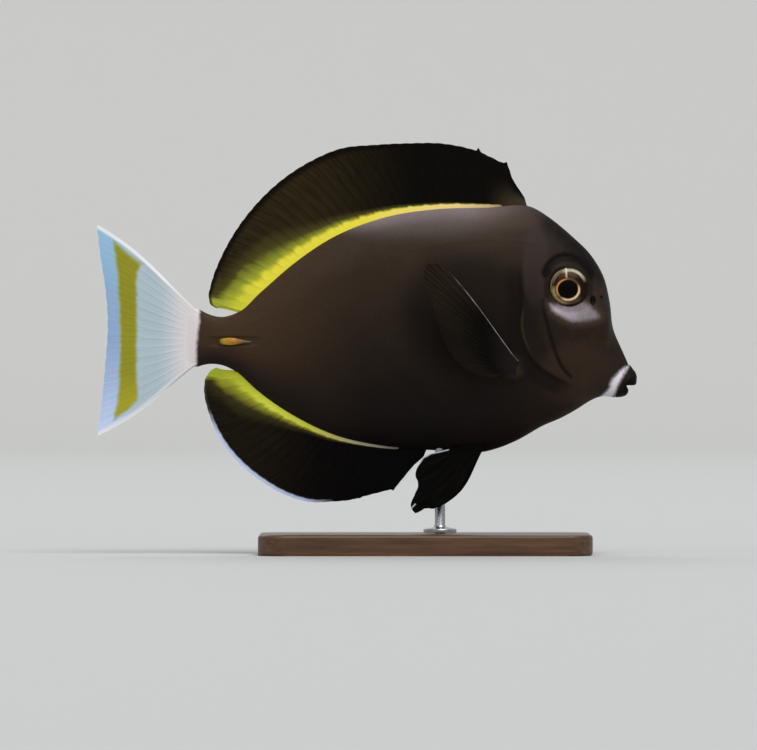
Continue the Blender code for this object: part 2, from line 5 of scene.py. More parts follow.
import bpy
import numpy as np
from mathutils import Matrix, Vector


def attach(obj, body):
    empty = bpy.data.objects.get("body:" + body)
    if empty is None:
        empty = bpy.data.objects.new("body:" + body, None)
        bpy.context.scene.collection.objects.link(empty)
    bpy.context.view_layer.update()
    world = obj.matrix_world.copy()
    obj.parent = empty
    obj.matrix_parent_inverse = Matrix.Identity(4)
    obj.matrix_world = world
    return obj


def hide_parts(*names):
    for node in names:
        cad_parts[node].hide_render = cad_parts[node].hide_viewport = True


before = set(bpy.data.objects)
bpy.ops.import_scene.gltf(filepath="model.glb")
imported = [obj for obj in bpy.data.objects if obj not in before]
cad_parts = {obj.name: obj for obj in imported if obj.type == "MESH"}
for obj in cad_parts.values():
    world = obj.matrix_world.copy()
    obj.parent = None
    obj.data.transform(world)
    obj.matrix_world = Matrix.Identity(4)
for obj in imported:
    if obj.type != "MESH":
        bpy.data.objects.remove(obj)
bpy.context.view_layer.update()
mm = 0.001
bothSides = ((1, "left", "Left"), (-1, "right", "Right"))
seam = 0.3                           # mm between pieces that meet
weld = 0.000001                      # metres within which a mesh's points are joined
print("frame loaded:", len(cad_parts), "nodes")


# small helpers that every piece uses

def along(points, places):
    # points on a smooth curve through the given ones, at shares of its length
    points = np.array(points, float)
    steps = np.linalg.norm(np.diff(points, axis=0), axis=1)
    knots = np.concatenate([[0.0], np.cumsum(steps)]) / steps.sum()
    slopes = np.gradient(points, knots, axis=0)
    places = np.asarray(places, float)
    i = np.clip(np.searchsorted(knots, places, side="right") - 1, 0, len(knots) - 2)
    span = (knots[i + 1] - knots[i])[..., None]
    t = (places - knots[i])[..., None] / span
    return ((2 * t ** 3 - 3 * t ** 2 + 1) * points[i] + (t ** 3 - 2 * t ** 2 + t) * span * slopes[i]
            + (3 * t ** 2 - 2 * t ** 3) * points[i + 1] + (t ** 3 - t ** 2) * span * slopes[i + 1])


def smooth(low, high, value):
    # 0 below low, 1 above high, eased in between
    share = np.clip((np.asarray(value, float) - low) / (high - low), 0, 1)
    return share * share * (3 - 2 * share)


def bell(value, width):
    return np.exp(-(np.asarray(value) / width) ** 2)


def patch(x, z, middle, radii):
    # 1 in the middle of an oval place in side view, easing to 0 at its edge
    return 1 - smooth(0.45, 1.0, np.hypot((x - middle[0]) / radii[0], (z - middle[1]) / radii[1]))


def unit(vector):
    return np.array(vector, float) / np.linalg.norm(vector)


def lineDistance(x, z, points, closed=False):
    # distance of each place in side view from a line, and the share of the line where it is nearest
    points = np.array(points, float)
    if closed:
        points = np.vstack([points, points[:1]])
    best = np.full(np.shape(x), 1e9)
    share = np.zeros(np.shape(x))
    for k in range(len(points) - 1):
        start, step = points[k], points[k + 1] - points[k]
        t = np.clip(((x - start[0]) * step[0] + (z - start[1]) * step[1]) / (step @ step + 1e-12), 0, 1)
        gap = np.hypot(x - start[0] - t * step[0], z - start[1] - t * step[1])
        nearer = gap < best
        best = np.where(nearer, gap, best)
        share = np.where(nearer, (k + t) / (len(points) - 1), share)
    return best, share


def onAxes(x, z, middle, ahead, up):
    # how far places in side view lie from a middle, along two directions
    return ((x - middle[0]) * ahead[0] + (z - middle[1]) * ahead[1],
            (x - middle[0]) * up[0] + (z - middle[1]) * up[1])


def insideDistance(x, z, outline, rounded=True):
    # distance from a closed outline, positive inside it
    points = np.array(outline, float)
    if rounded:
        points = along(list(outline) + [outline[0]], np.linspace(0, 1, 60))[:-1]
    inside = np.zeros(np.shape(x), bool)
    for k in range(len(points)):
        (x0, z0), (x1, z1) = points[k - 1], points[k]
        if z0 != z1:
            inside ^= ((z0 > z) != (z1 > z)) & (x < x0 + (z - z0) * (x1 - x0) / (z1 - z0))
    gap = lineDistance(x, z, points, closed=True)[0]
    return np.where(inside, gap, -gap)


def active(name):
    made = bpy.context.object
    made.name = name
    made.data.name = name
    return made


def selectNone():
    if bpy.context.object and bpy.context.object.mode == "EDIT":
        bpy.ops.object.mode_set(mode="OBJECT")
    bpy.ops.object.select_all(action="DESELECT")


def selectOnly(piece):
    selectNone()
    piece.select_set(True)
    bpy.context.view_layer.objects.active = piece


def edit(piece, kind="VERT", action="SELECT"):
    # opens one piece in edit mode, with all or none of it selected
    selectOnly(piece)
    bpy.ops.object.mode_set(mode="EDIT")
    bpy.ops.mesh.select_mode(type=kind)
    bpy.ops.mesh.select_all(action=action)


def applyAll(piece):
    selectOnly(piece)
    for modifier in list(piece.modifiers):
        bpy.ops.object.modifier_apply(modifier=modifier.name)


def mergeAndTurnOut(piece, distance=weld):
    edit(piece)
    bpy.ops.mesh.remove_doubles(threshold=distance)
    bpy.ops.mesh.normals_make_consistent(inside=False)
    bpy.ops.object.mode_set(mode="OBJECT")


def extrudedTube(name, around, rings):
    # a circle that is extruded once for each ring along X; its maker then moves each ring into shape
    selectNone()
    bpy.ops.mesh.primitive_circle_add(vertices=around, radius=1.0, rotation=(0, math.pi / 2, 0))
    piece = active(name)
    bpy.ops.object.transform_apply(rotation=True)
    edit(piece)
    for _ in range(rings):
        bpy.ops.mesh.extrude_region_move(TRANSFORM_OT_translate={"value": (1.0, 0, 0)})
    bpy.ops.object.mode_set(mode="OBJECT")
    return piece


def placesOf(piece):
    flat = np.zeros(len(piece.data.vertices) * 3)
    piece.data.vertices.foreach_get("co", flat)
    return flat.reshape(-1, 3)


def moveTo(piece, places):
    piece.data.vertices.foreach_set("co", np.asarray(places, float).ravel())
    piece.data.update()


def keep(piece, name, values):
    # keeps a number or a vector for each vertex, for its material to read
    values = np.asarray(values, float)
    if values.ndim == 1:
        piece.data.attributes.new(name, "FLOAT", "POINT").data.foreach_set("value", values)
    else:
        piece.data.attributes.new(name, "FLOAT_VECTOR", "POINT").data.foreach_set("vector", values.ravel())


def settle(piece, material, slot, *nodes, angle=60):
    # the last steps of every piece: finish, smooth shading, its body and its nodes
    selectOnly(piece)
    piece.data.materials.clear()
    piece.data.materials.append(material)
    bpy.ops.object.transform_apply(location=True, rotation=True, scale=True)
    bpy.ops.object.shade_smooth_by_angle(angle=math.radians(angle))
    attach(piece, "root")
    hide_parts(*nodes)


def linear(code):
    # an sRGB hex colour as the linear values that a shader takes
    parts = [int(code[k:k + 2], 16) / 255 for k in (1, 3, 5)]
    return tuple(c / 12.92 if c <= 0.04045 else ((c + 0.055) / 1.055) ** 2.4 for c in parts) + (1.0,)


def newMaterial(name):
    made = bpy.data.materials.new(name)
    made.use_nodes = True
    tree = made.node_tree
    return made, tree, tree.nodes["Principled BSDF"]


def plug(tree, node, sockets):
    # sets a node's sockets, by name or place, to a link, an sRGB hex colour or a plain value
    for socket, value in sockets.items():
        if isinstance(value, bpy.types.NodeSocket):
            tree.links.new(value, node.inputs[socket])
        elif isinstance(value, str):
            node.inputs[socket].default_value = linear(value)
        else:
            node.inputs[socket].default_value = value


def add(tree, kind, *values, stops=(), out=0, **settings):
    # adds a node with its settings and gives one of its outputs; the values go to its first sockets in turn,
    # a dictionary's to the sockets that it names, and a ramp has stops
    made = tree.nodes.new("ShaderNode" + kind)
    for name, value in settings.items():
        setattr(made, name, value)
    for place, value in enumerate(values):
        plug(tree, made, value if isinstance(value, dict) else {place: value})
    for k, (place, code) in enumerate(stops):
        if k >= len(made.color_ramp.elements):
            made.color_ramp.elements.new(place)
        made.color_ramp.elements[k].position = place
        made.color_ramp.elements[k].color = linear(code)
    return made.outputs[out]


def laid(tree, colour, shade, value, low, high, strength=1.0):
    # lays a colour over another where a value runs from low to high
    mask = add(tree, "MapRange", value, low, high, 0.0, strength, interpolation_type="SMOOTHSTEP")
    return add(tree, "MixRGB", mask, colour, shade)


def layered(tree, colour, look, layers):
    # lays a finish's colours over one another, each by its name, value, low, high and strength
    for name, value, low, high, strength in layers:
        colour = laid(tree, colour, look[name], value, low, high, strength)
    return colour


def near(tree, value, middle, reach):
    # 1 where a value is at the middle, 0 at the reach
    away = add(tree, "Math", add(tree, "Math", value, middle, operation="SUBTRACT"), operation="ABSOLUTE")
    return add(tree, "MapRange", away, reach, 0.1 * reach, interpolation_type="SMOOTHSTEP")


# the body's shape: the solids' own, but a little higher along the back under the dorsal fin

body = {
    # tail root to lips: back x, z; belly x, z; half-width; how sharply it closes at its edges
    "sections": [
        (-40.6, 59.2, -41.0, 45.1, 1.3, 0.50), (-38.2, 57.9, -38.4, 45.8, 1.9, 0.50),
        (-34.8, 57.2, -35.0, 45.6, 2.6, 0.52), (-31.5, 58.1, -32.2, 44.4, 3.1, 0.55),
        (-25.5, 63.35, -26.4, 39.3, 3.9, 0.60), (-17.8, 70.05, -19.6, 34.4, 5.0, 0.62),
        (-7.2, 77.0, -8.1, 28.7, 6.5, 0.62), (5.0, 81.45, 4.0, 26.0, 8.0, 0.62),
        (17.0, 83.25, 16.0, 25.1, 9.0, 0.62), (29.0, 83.6, 27.5, 24.6, 9.5, 0.62),
        (38.8, 83.9, 36.0, 27.4, 9.4, 0.60), (44.2, 80.9, 42.2, 30.9, 9.1, 0.57),
        (49.5, 76.5, 46.8, 32.9, 8.6, 0.55), (53.9, 72.1, 50.6, 35.0, 7.9, 0.54),
        (57.0, 66.8, 53.4, 36.8, 7.0, 0.53), (58.5, 60.5, 55.5, 37.8, 5.9, 0.52),
        (59.3, 54.3, 57.2, 38.1, 4.8, 0.51), (60.9, 50.2, 58.5, 38.0, 3.8, 0.50),
        (62.8, 46.0, 59.6, 37.8, 3.0, 0.50)],
    "roundness": 1.9,
}
sectionTable = along(body["sections"], np.linspace(0, 1, 801))


def sectionPoint(rows, angle):
    # a point on a section; angle 0 is on the back, a quarter turn is the left side
    height = np.cos(angle)
    x = rows[..., 2] + (rows[..., 0] - rows[..., 2]) * (height + 1) / 2
    z = rows[..., 3] + (rows[..., 1] - rows[..., 3]) * (height + 1) / 2
    full = np.maximum(0, 1 - np.abs(height) ** body["roundness"]) ** rows[..., 5]
    return np.stack([x, rows[..., 4] * full * np.sign(np.round(np.sin(angle), 9)), z], axis=-1)


def bodySide(x, z):
    # half-width of the body at places in side view
    x, z = np.asarray(x, float), np.asarray(z, float)
    low, high = np.zeros_like(x), np.ones_like(x)
    places = np.linspace(0, 1, len(sectionTable))
    for _ in range(22):
        middle = (low + high) / 2
        topX, topZ, footX, footZ = (np.interp(middle, places, sectionTable[:, c]) for c in range(4))
        ahead = (x - footX) * (topZ - footZ) - (z - footZ) * (topX - footX) > 0
        low, high = np.where(ahead, middle, low), np.where(ahead, high, middle)
    span = (topX - footX) ** 2 + (topZ - footZ) ** 2
    height = ((x - footX) * (topX - footX) + (z - footZ) * (topZ - footZ)) / span * 2 - 1
    width, sharp = (np.interp(middle, places, sectionTable[:, c]) for c in (4, 5))
    return width * np.maximum(0, 1 - np.abs(height) ** body["roundness"]) ** sharp


def backAt(x):
    return np.interp(x, sectionTable[:, 0], sectionTable[:, 1])


def bellyAt(x):
    return np.interp(x, sectionTable[:, 2], sectionTable[:, 3])


# skin: one seamless piece from the tail's root to the inside of the mouth

skinPlan = {
    "around": 88, "tailRings": 3, "bodyRings": 29, "headRings": 21, "lipRings": 10, "levels": 2,
    "headStart": 36.5,               # x where the rings close up for the head
    # the end inside the tail fin: how far it reaches, its half-width, how much it thins and lowers on the way
    "tailReach": 3.4, "tailHalf": 0.68, "tailThins": 0.22, "tailLowers": 0.06,
    "gillRear": [(38.0, 73.4), (37.3, 70.4), (37.1, 67.2), (37.4, 61.0), (37.0, 54.3), (38.3, 49.8),
                 (40.7, 45.9), (44.8, 42.9), (49.0, 40.7), (51.5, 38.6)],
    "gillLift": 0.42, "gillReach": 3.6, "gillGroove": 0.2, "gillGrooveReach": 0.8, "gillStep": 0.42,
    "cheekGroove": [(42.2, 61.0), (42.6, 58.1), (43.7, 53.6), (45.3, 48.5), (46.6, 45.4), (48.9, 42.8)],
    "cheekDepth": 0.36, "cheekWidth": 0.42,
    "cheekSwell": (0.10, 1.9, 1.1),  # height, distance from the groove and width of the swelling beside it
    "spineGroove": [(-37.0, 51.2), (-26.9, 51.3)], "spineDepth": 0.26, "spineHalf": 1.35,
    "spineWall": 0.55,
    "spineRim": (0.05, 0.25, 0.4),   # height, distance from the trough and width of its rim
    "lobeMiddle": (34.7, 44.9), "lobeLength": (4.4, 6.0), "lobeSpan": 3.6, "lobeHeight": 1.3,
    "lobeUp": (1.3, 3.9),            # which way the fin's root runs up the flank
    "lateralLine": [(39.5, 75.0), (33.0, 75.6), (22.0, 75.3), (8.0, 72.4), (-6.0, 67.0), (-18.0, 60.8),
                    (-26.0, 56.4), (-32.0, 53.6), (-38.0, 52.6)],
    "lateralLift": 0.045, "lateralWidth": 0.4,
    "flankFrom": 0.6,                # half-width from which a place counts as flank
    "sewing": 0.00002,               # metres within which the slit between the lips is sewn shut
}
eyePlan = {
    "middle": (48.4, 64.2), "side": 6.7, "radius": 5.1, "halfDepth": 2.3, "look": (0.10, 1.0, 0.13),
    "opening": 4.7,                  # radius where the skin meets the eyeball
    "snap": 0.16,                    # points this near the opening are drawn onto it
    "sunk": (0.35, 0.9),             # how far the skin lies under the ball, at the opening and further in
    "rimWidth": 1.1, "rimLift": 0.34, "rimGroove": 0.10, "rimEase": 0.35,
    "reach": 10,                     # how far round the eye the skin is shaped
    # the lid fold's oval: its middle from the eye's and its half-widths; how deep it is and how high it swells
    "lid": ((-0.15, 0.95), (5.95, 6.55)), "lidDepth": 0.17, "lidSwell": 0.07,
    "bulge": 0.12, "bulgeFade": (1.9, 2.6),      # the cornea's height over the iris, and where it ends
    "segments": 128, "rings": 72,
}
nostrils = {"places": [((56.3, 61.9), (0.28, 0.36)), ((54.25, 61.0), (0.66, 1.08))], "depth": 0.55, "rim": 0.2}
mouth = {
    "middle": (61.2, 41.9), "forward": (0.931, -0.364), "up": (0.364, 0.931),
    "slitHeight": -0.9, "slitDepth": 1.25, "slitHalf": 2.75,
    "upperReach": 3.7, "lowerReach": 2.6, "cornerReach": 1.5,
    # profile from the head to the slit: share of the way down or up, share of the reach
    "upperLip": [(0, 0), (0.02, 0.08), (0.04, 0.2), (0.145, 0.43), (0.266, 0.70), (0.41, 0.86), (0.56, 0.94),
                 (0.68, 0.985), (0.75, 0.99), (0.80, 0.93), (0.836, 0.76), (0.88, 0.50), (0.94, 0.38),
                 (1.0, 0.335)],
    "lowerLip": [(0, 0), (0.03, 0.10), (0.08, 0.26), (0.17, 0.50), (0.30, 0.76), (0.44, 0.93), (0.60, 1.0),
                 (0.73, 1.0), (0.83, 0.93), (0.91, 0.76), (0.96, 0.60), (1.0, 0.48)],
    "fullness": 0.3,
    # the fold where the lips grow out of the snout: height, place and width of its groove and its swelling
    "fold": [(-0.16, 1.035, 0.03), (0.1, 0.985, 0.02)],
    # white band behind the lips: height along the mouth's plane, how far back the band reaches
    "bandBack": [(-5.2, 3.2), (-4.0, 2.65), (-2.7, 2.2), (-1.7, 2.45), (-0.6, 2.35), (1.4, 1.6), (3.0, 0.85),
                 (3.7, 0.2), (4.3, -0.6)],
    "bandFront": [(-4.0, -0.25), (-1.5, -0.18), (0.4, 0.0), (3.4, 0.5)],
}
# soft oval places in side view, each with its middle and half-widths; the one under the pectoral fin is painted
# shade, the sheens are painted sheen
skinMarks = {"underFinShade": ((24.5, 58.0), (21.5, 20.0)), "backSheen": ((12.5, 84.0), (30.0, 10.5)),
             "snoutSheen": ((55.9, 62.0), (2.6, 6.0)), "gillSheen": ((40.4, 69.5), (4.4, 13.0)),
             "jawGlow": ((50.3, 43.6), (12.0, 10.0)), "napeGlow": ((35.0, 83.6), (12.0, 7.5))}
cheekPatch = [(44.0, 60.1), (45.4, 59.8), (47.0, 59.4), (48.9, 59.3), (50.8, 59.9), (52.6, 60.5), (54.0, 59.2),
              (55.7, 57.2), (54.2, 56.6), (51.3, 56.1), (48.9, 56.3), (46.4, 57.5), (44.6, 58.8)]


def ringPlaces():
    # where each ring lies: -1..0 inside the tail fin, 0..1 along the body, 1..2 round the lips
    plan = skinPlan
    headShare = float(np.interp(plan["headStart"], sectionTable[:, 0], np.linspace(0, 1, len(sectionTable))))
    runs = [(-1, 0, plan["tailRings"]), (0, headShare, plan["bodyRings"]),
            (headShare, 1, plan["headRings"]), (1, 2, plan["lipRings"])]
    places = [-1.0]
    for low, high, count in runs:
        steps = count * 2 ** plan["levels"]
        places += list(low + (high - low) * (np.arange(steps) + 1) / steps)
    return np.array(places)


def fromMouth(x, z):
    # how far places in side view lie ahead of the mouth's middle and above it, in the mouth's own plane
    return onAxes(x, z, *(np.array(mouth[k]) for k in ("middle", "forward", "up")))


def mouthPlaces(angle, share):
    # the lips: from the head's last section to the slit between them
    rows = np.broadcast_to(sectionTable[-1], share.shape + (6,))
    start = sectionPoint(rows, angle)
    across = np.sin(angle)
    slitY = mouth["slitHalf"] * np.sign(across) * np.abs(across) ** 0.9
    upper = smooth(-0.35, 0.35, np.cos(angle))
    upperRow, lowerRow = along(mouth["upperLip"], share), along(mouth["lowerLip"], share)
    profile = upperRow * upper[..., None] + lowerRow * (1 - upper)[..., None]
    startOut, startUp = fromMouth(start[..., 0], start[..., 2])
    reach = mouth["upperReach"] * upper + mouth["lowerReach"] * (1 - upper)
    plump = np.maximum(0, 1 - np.abs(across) ** 2.6) ** 0.5
    reach = mouth["cornerReach"] + (reach - mouth["cornerReach"]) * plump
    out = startOut * (1 - profile[..., 0]) + reach * profile[..., 1]
    depth = mouth["slitDepth"]
    out = np.where(share > 0.9, out + (depth - out) * smooth(0.9, 1.0, share), out)
    rise = startUp + (mouth["slitHeight"] - startUp) * profile[..., 0]
    y = start[..., 1] + (slitY - start[..., 1]) * profile[..., 0]
    y = y + mouth["fullness"] * across * np.sin(np.pi * np.clip(share, 0, 1))
    middle, forward, up = (np.array(mouth[k]) for k in ("middle", "forward", "up"))
    x, z = (middle[k] + forward[k] * out + up[k] * rise for k in (0, 1))
    return np.stack([x, y, z], axis=-1)


def skinGrid():
    # every ring's points, with each one's place along the body
    plan, places = skinPlan, ringPlaces()
    count = plan["around"] * 2 ** plan["levels"]
    angles = 2 * np.pi * np.arange(count) / count
    place, angle = np.meshgrid(places, angles, indexing="ij")
    grid = sectionPoint(along(body["sections"], np.clip(place, 0, 1)), angle)
    lips = places > 1
    grid[lips] = mouthPlaces(angle[lips], place[lips] - 1)
    inTail = np.clip(-place, 0, 1)
    grid[..., 0] -= plan["tailReach"] * inTail
    # just under the faces of the tail fin at its end
    thin = plan["tailHalf"] - plan["tailThins"] * inTail
    wide = np.abs(grid[..., 1])
    over = np.maximum(wide - thin, 0)
    grid[..., 1] = np.sign(grid[..., 1]) * (np.minimum(wide, thin) + over * (1 - inTail) ** 2.2)
    middle = grid[..., 2].mean(axis=1, keepdims=True)
    grid[..., 2] = middle + (grid[..., 2] - middle) * (1 - plan["tailLowers"] * inTail)
    return place, grid


def gridNormals(grid):
    alongBody = np.gradient(grid, axis=0)
    aroundBody = (np.roll(grid, -1, axis=1) - np.roll(grid, 1, axis=1)) / 2
    normal = np.cross(aroundBody, alongBody)
    size = np.linalg.norm(normal, axis=-1, keepdims=True)
    normal = normal / np.maximum(size, 1e-9)
    inner = grid - grid.mean(axis=1, keepdims=True)
    sign = np.sign((normal * inner).sum(axis=-1).mean())
    return normal * sign


def setEyeSockets(grid):
    # sinks the skin under each eyeball and raises a soft rim round it
    plan = eyePlan
    opening, whole = plan["opening"], plan["radius"]
    rimEnd = opening + plan["rimWidth"] + plan["rimEase"]
    radiusMap, lidMap = np.full(grid.shape[:2], 99.0), np.full(grid.shape[:2], 99.0)
    for side, _, _ in bothSides:
        middle, look, _, _ = eyeAxes(side)
        fromEye = np.hypot(grid[..., 0] - middle[0], grid[..., 2] - middle[2])
        here = (grid[..., 1] * side > 1.0) & (fromEye < plan["reach"])
        offset = grid[here] - middle
        depth = offset @ look
        flat = offset - depth[:, None] * look
        radius = np.linalg.norm(flat, axis=1)
        snapped = np.where(np.abs(radius - opening) < plan["snap"], opening, radius)
        flat *= (snapped / np.maximum(radius, 1e-6))[:, None]
        ball = plan["halfDepth"] * np.sqrt(np.maximum(0, 1 - (np.minimum(radius, whole) / whole) ** 2))
        edge = plan["halfDepth"] * math.sqrt(1 - (opening / whole) ** 2)
        upward = flat[:, 2] / np.maximum(radius, 1e-6)
        rim = plan["rimLift"] * smooth(opening - 0.05, opening + 0.3, radius)
        rim = rim * (1 - smooth(opening + 0.55, rimEnd, radius))
        groove = -plan["rimGroove"] * bell(radius - rimEnd, 0.4)
        lidAt, lidHalf = plan["lid"]
        oval = np.hypot((flat[:, 0] - lidAt[0]) / lidHalf[0], (flat[:, 2] - lidAt[1]) / lidHalf[1])
        fromLid = (oval - 1) * lidHalf[0]
        lidShare = smooth(-0.1, 0.55, upward)
        lid = plan["lidSwell"] * bell(fromLid + 0.9, 0.6) - plan["lidDepth"] * bell(fromLid, 0.42)
        outside = depth + rim + groove + lid * lidShare
        contact = smooth(opening - 0.02, opening + 0.28, radius)
        blended = (edge - 0.06) * (1 - contact) + outside * contact
        sunk = ball - plan["sunk"][0] - plan["sunk"][1] * smooth(0.0, 0.8, opening - radius)
        depth = np.where(radius < opening - 0.03, sunk, blended)
        grid[here] = middle + flat + depth[:, None] * look
        radiusMap[here] = radius
        lidMap[here] = np.abs(fromLid) + 3 * (1 - lidShare)
    return radiusMap, lidMap


def fromGill(x, z):
    # how far places in side view lie ahead of the gill cover's rear edge, and where along it that is
    line = along(skinPlan["gillRear"], np.linspace(0, 1, 60))
    away, share = lineDistance(x, z, line)
    return np.where(x > np.interp(z, line[::-1, 1], line[::-1, 0]), away, -away), share


def fromCheekGroove(x, z):
    return lineDistance(x, z, along(skinPlan["cheekGroove"], np.linspace(0, 1, 40)))


def fromNostrils(x, z):
    # distance from each nostril, as a share of its half-widths
    return [np.hypot((x - atX) / halfX, (z - atZ) / halfZ) for (atX, atZ), (halfX, halfZ) in nostrils["places"]]


def reliefOf(grid, place):
    # height of the skin over the plain body, in millimetres
    plan = skinPlan
    x, z = grid[..., 0], grid[..., 2]
    relief = np.zeros(x.shape)
    flank = np.abs(grid[..., 1]) > plan["flankFrom"]
    # gill cover: a flap that lifts towards its rear edge, with a cleft behind it
    away, share = fromGill(x, z)
    ends = smooth(0.0, 0.25, share) * (1 - smooth(0.80, 1.0, share))
    flap = plan["gillLift"] * np.exp(-np.maximum(away, 0) / plan["gillReach"])
    cleft = -plan["gillGroove"] * np.exp(-np.maximum(-away, 0) / plan["gillGrooveReach"])
    step = smooth(-plan["gillStep"], plan["gillStep"], away)
    relief += (flap * step + cleft * (1 - step)) * ends * flank
    # cheek: the groove in front of the gill cover
    away, share = fromCheekGroove(x, z)
    fade = smooth(0.0, 0.18, share) * (1 - smooth(0.8, 1.0, share)) * flank
    relief -= plan["cheekDepth"] * bell(away, plan["cheekWidth"]) * fade
    high, off, wide = plan["cheekSwell"]
    relief += high * bell(away - off, wide) * fade
    # lateral line: a low row of pores under the back
    away, share = lineDistance(x, z, along(plan["lateralLine"], np.linspace(0, 1, 60)))
    relief += plan["lateralLift"] * bell(away, plan["lateralWidth"]) * (1 - smooth(0.9, 1.0, share)) * flank
    # the trough that the tail spine folds into
    away, share = lineDistance(x, z, plan["spineGroove"])
    trough = (1 - smooth(plan["spineHalf"] - plan["spineWall"], plan["spineHalf"], away)) * flank
    high, off, wide = plan["spineRim"]
    relief += -plan["spineDepth"] * trough + high * bell(away - plan["spineHalf"] - off, wide) * flank
    # fleshy root of each pectoral fin
    rootUp = unit(plan["lobeUp"])
    rootForward = np.array([rootUp[1], -rootUp[0]])
    forward, up = onAxes(x, z, np.array(plan["lobeMiddle"]), rootForward, rootUp)
    length = np.where(forward > 0, plan["lobeLength"][0], plan["lobeLength"][1])
    lobe = np.maximum(0, 1 - ((forward / length) ** 2 + (up / plan["lobeSpan"]) ** 2))
    relief += plan["lobeHeight"] * lobe ** 1.15 * flank
    # nostrils: low rims round a pit
    for away in fromNostrils(x, z):
        pit = nostrils["rim"] * bell(away - 1.45, 0.4) - nostrils["depth"] * (1 - smooth(0.35, 1.05, away))
        relief += pit * flank * (place < 1)
    for high, at, wide in mouth["fold"]:
        relief += high * bell(place - at, wide)
    return relief, lobe


def readingsOf(plain, place):
    # what the finish reads: a place on the skin, and how far each marking's edge is
    x, z = plain[..., 0], plain[..., 2]
    around = x.shape[1]
    steps = np.linalg.norm(np.diff(plain, axis=0), axis=-1)
    lengthwise = np.vstack([np.zeros((1, around)), np.cumsum(steps, axis=0)])
    lengthwise = lengthwise.mean(axis=1, keepdims=True) + 0 * lengthwise
    chords = np.linalg.norm(plain - np.roll(plain, 1, axis=1), axis=-1)
    half = around // 2
    fromBack = np.zeros_like(x)
    fromBack[:, 1:half + 1] = np.cumsum(chords[:, 1:half + 1], axis=1)
    fromBack[:, half + 1:] = fromBack[:, 1:half][:, ::-1]
    ahead, rise = fromMouth(x, z)
    bandBack, bandFront = (np.interp(rise, *np.array(mouth[k]).T) for k in ("bandBack", "bandFront"))
    back, belly = backAt(x), bellyAt(x)
    height = np.clip((z - belly) / np.maximum(back - belly, 1), 0, 1)
    gillEdge, share = fromGill(x, z)
    readings = {mark: patch(x, z, *skinMarks[mark]) for mark in skinMarks}
    readings["backSheen"] *= 0.42 * smooth(0.78, 1.0, height) + 0.58 * smooth(0.93, 1.0, height)
    readings["flow"] = np.stack([lengthwise, fromBack, np.abs(plain[..., 1])], axis=-1)
    readings["cheekEdge"] = insideDistance(x, z, cheekPatch)
    readings["bandEdge"] = np.minimum(ahead + bandBack, bandFront - ahead)
    readings["lipShare"] = np.clip(place - 1, 0, 1)
    readings["backToBelly"] = height
    readings["gillEdge"] = gillEdge
    readings["gillEnds"] = smooth(0.02, 0.22, share) * (1 - smooth(0.80, 1.0, share))
    readings["grooveAway"] = fromCheekGroove(x, z)[0]
    readings["nostrilAway"] = np.minimum.reduce([np.full(x.shape, 9.0), *fromNostrils(x, z)])
    return readings


def makeSkin():
    plan = skinPlan
    place, plain = skinGrid()
    relief, lobe = reliefOf(plain, place)
    grid = plain + gridNormals(plain) * relief[..., None]
    eyeAway, lidAway = setEyeSockets(grid)

    # a ring that is extruded once for each ring of the body, then split finer
    rings, around = grid.shape[:2]
    piece = extrudedTube("fishSkin", plan["around"], (rings - 1) // 2 ** plan["levels"])
    finer = piece.modifiers.new("finer", "SUBSURF")
    finer.subdivision_type = "SIMPLE"
    finer.levels = finer.render_levels = plan["levels"]
    applyAll(piece)
    tube = placesOf(piece)
    ring = np.rint(tube[:, 0] * 2 ** plan["levels"]).astype(int)
    spoke = np.rint(np.arctan2(tube[:, 1], tube[:, 2]) / (2 * np.pi) * around).astype(int) % around
    moveTo(piece, grid[ring, spoke] * mm)
    for name, values in dict(readingsOf(plain, place), eyeAway=eyeAway, lidAway=lidAway, lobe=lobe).items():
        keep(piece, name, values[ring, spoke])

    # the slit is sewn shut and the tail end closed with a face
    mergeAndTurnOut(piece, plan["sewing"])
    edit(piece, "EDGE", "DESELECT")
    bpy.ops.mesh.select_non_manifold(extend=False, use_wire=False, use_multi_face=False,
                                     use_non_contiguous=False, use_verts=False)
    bpy.ops.mesh.edge_face_add()
    bpy.ops.mesh.select_mode(type="VERT")
    bpy.ops.object.mode_set(mode="OBJECT")
    print("skin:", len(piece.data.vertices), "vertices")
    settle(piece, scaledSkin(), "skin", "head", "trunk", "tail_stalk", "gill_cover_left", "gill_cover_right",
           "upper_lip", "lower_lip", angle=80)


skinLook = {
    "scalePitch": 0.75,              # mm between scale rows; the real ones are about half that
    "belly": "#120f0e", "low": "#191310", "trunk": "#261d16", "shoulder": "#32261c", "top": "#3f342c",
    "head": "#261c15", "crest": "#0b0909", "cheekWarm": "#342616", "stalk": "#423122", "rearLow": "#1a1514",
    "underFinShade": "#0a0706", "lobe": "#3e3526", "backSheen": "#7c7172", "snout": "#494344", "cleft": "#120b08",
    "gillBand": "#181212", "gillSheen": "#453839", "gillLine": "#3a341a", "groove": "#100907",
    "jawGlow": "#44352a", "napeGlow": "#57473b", "orbit": "#20180f", "lid": "#070302", "pit": "#050303",
    "cheek": "#857d82", "cheekRear": "#b3a5b1", "cheekGlow": "#54443a", "band": "#efebee",
    "bandEdge": "#8f888f", "bandTop": "#dcd4ee", "bandLow": "#d0d6f4", "lip": "#0a0806", "lipGlow": "#1a140d",
    "tailBase": "#e2dadb", "tailBaseX": -40.3,
    "roughness": 0.5, "bump": 0.00009,
}


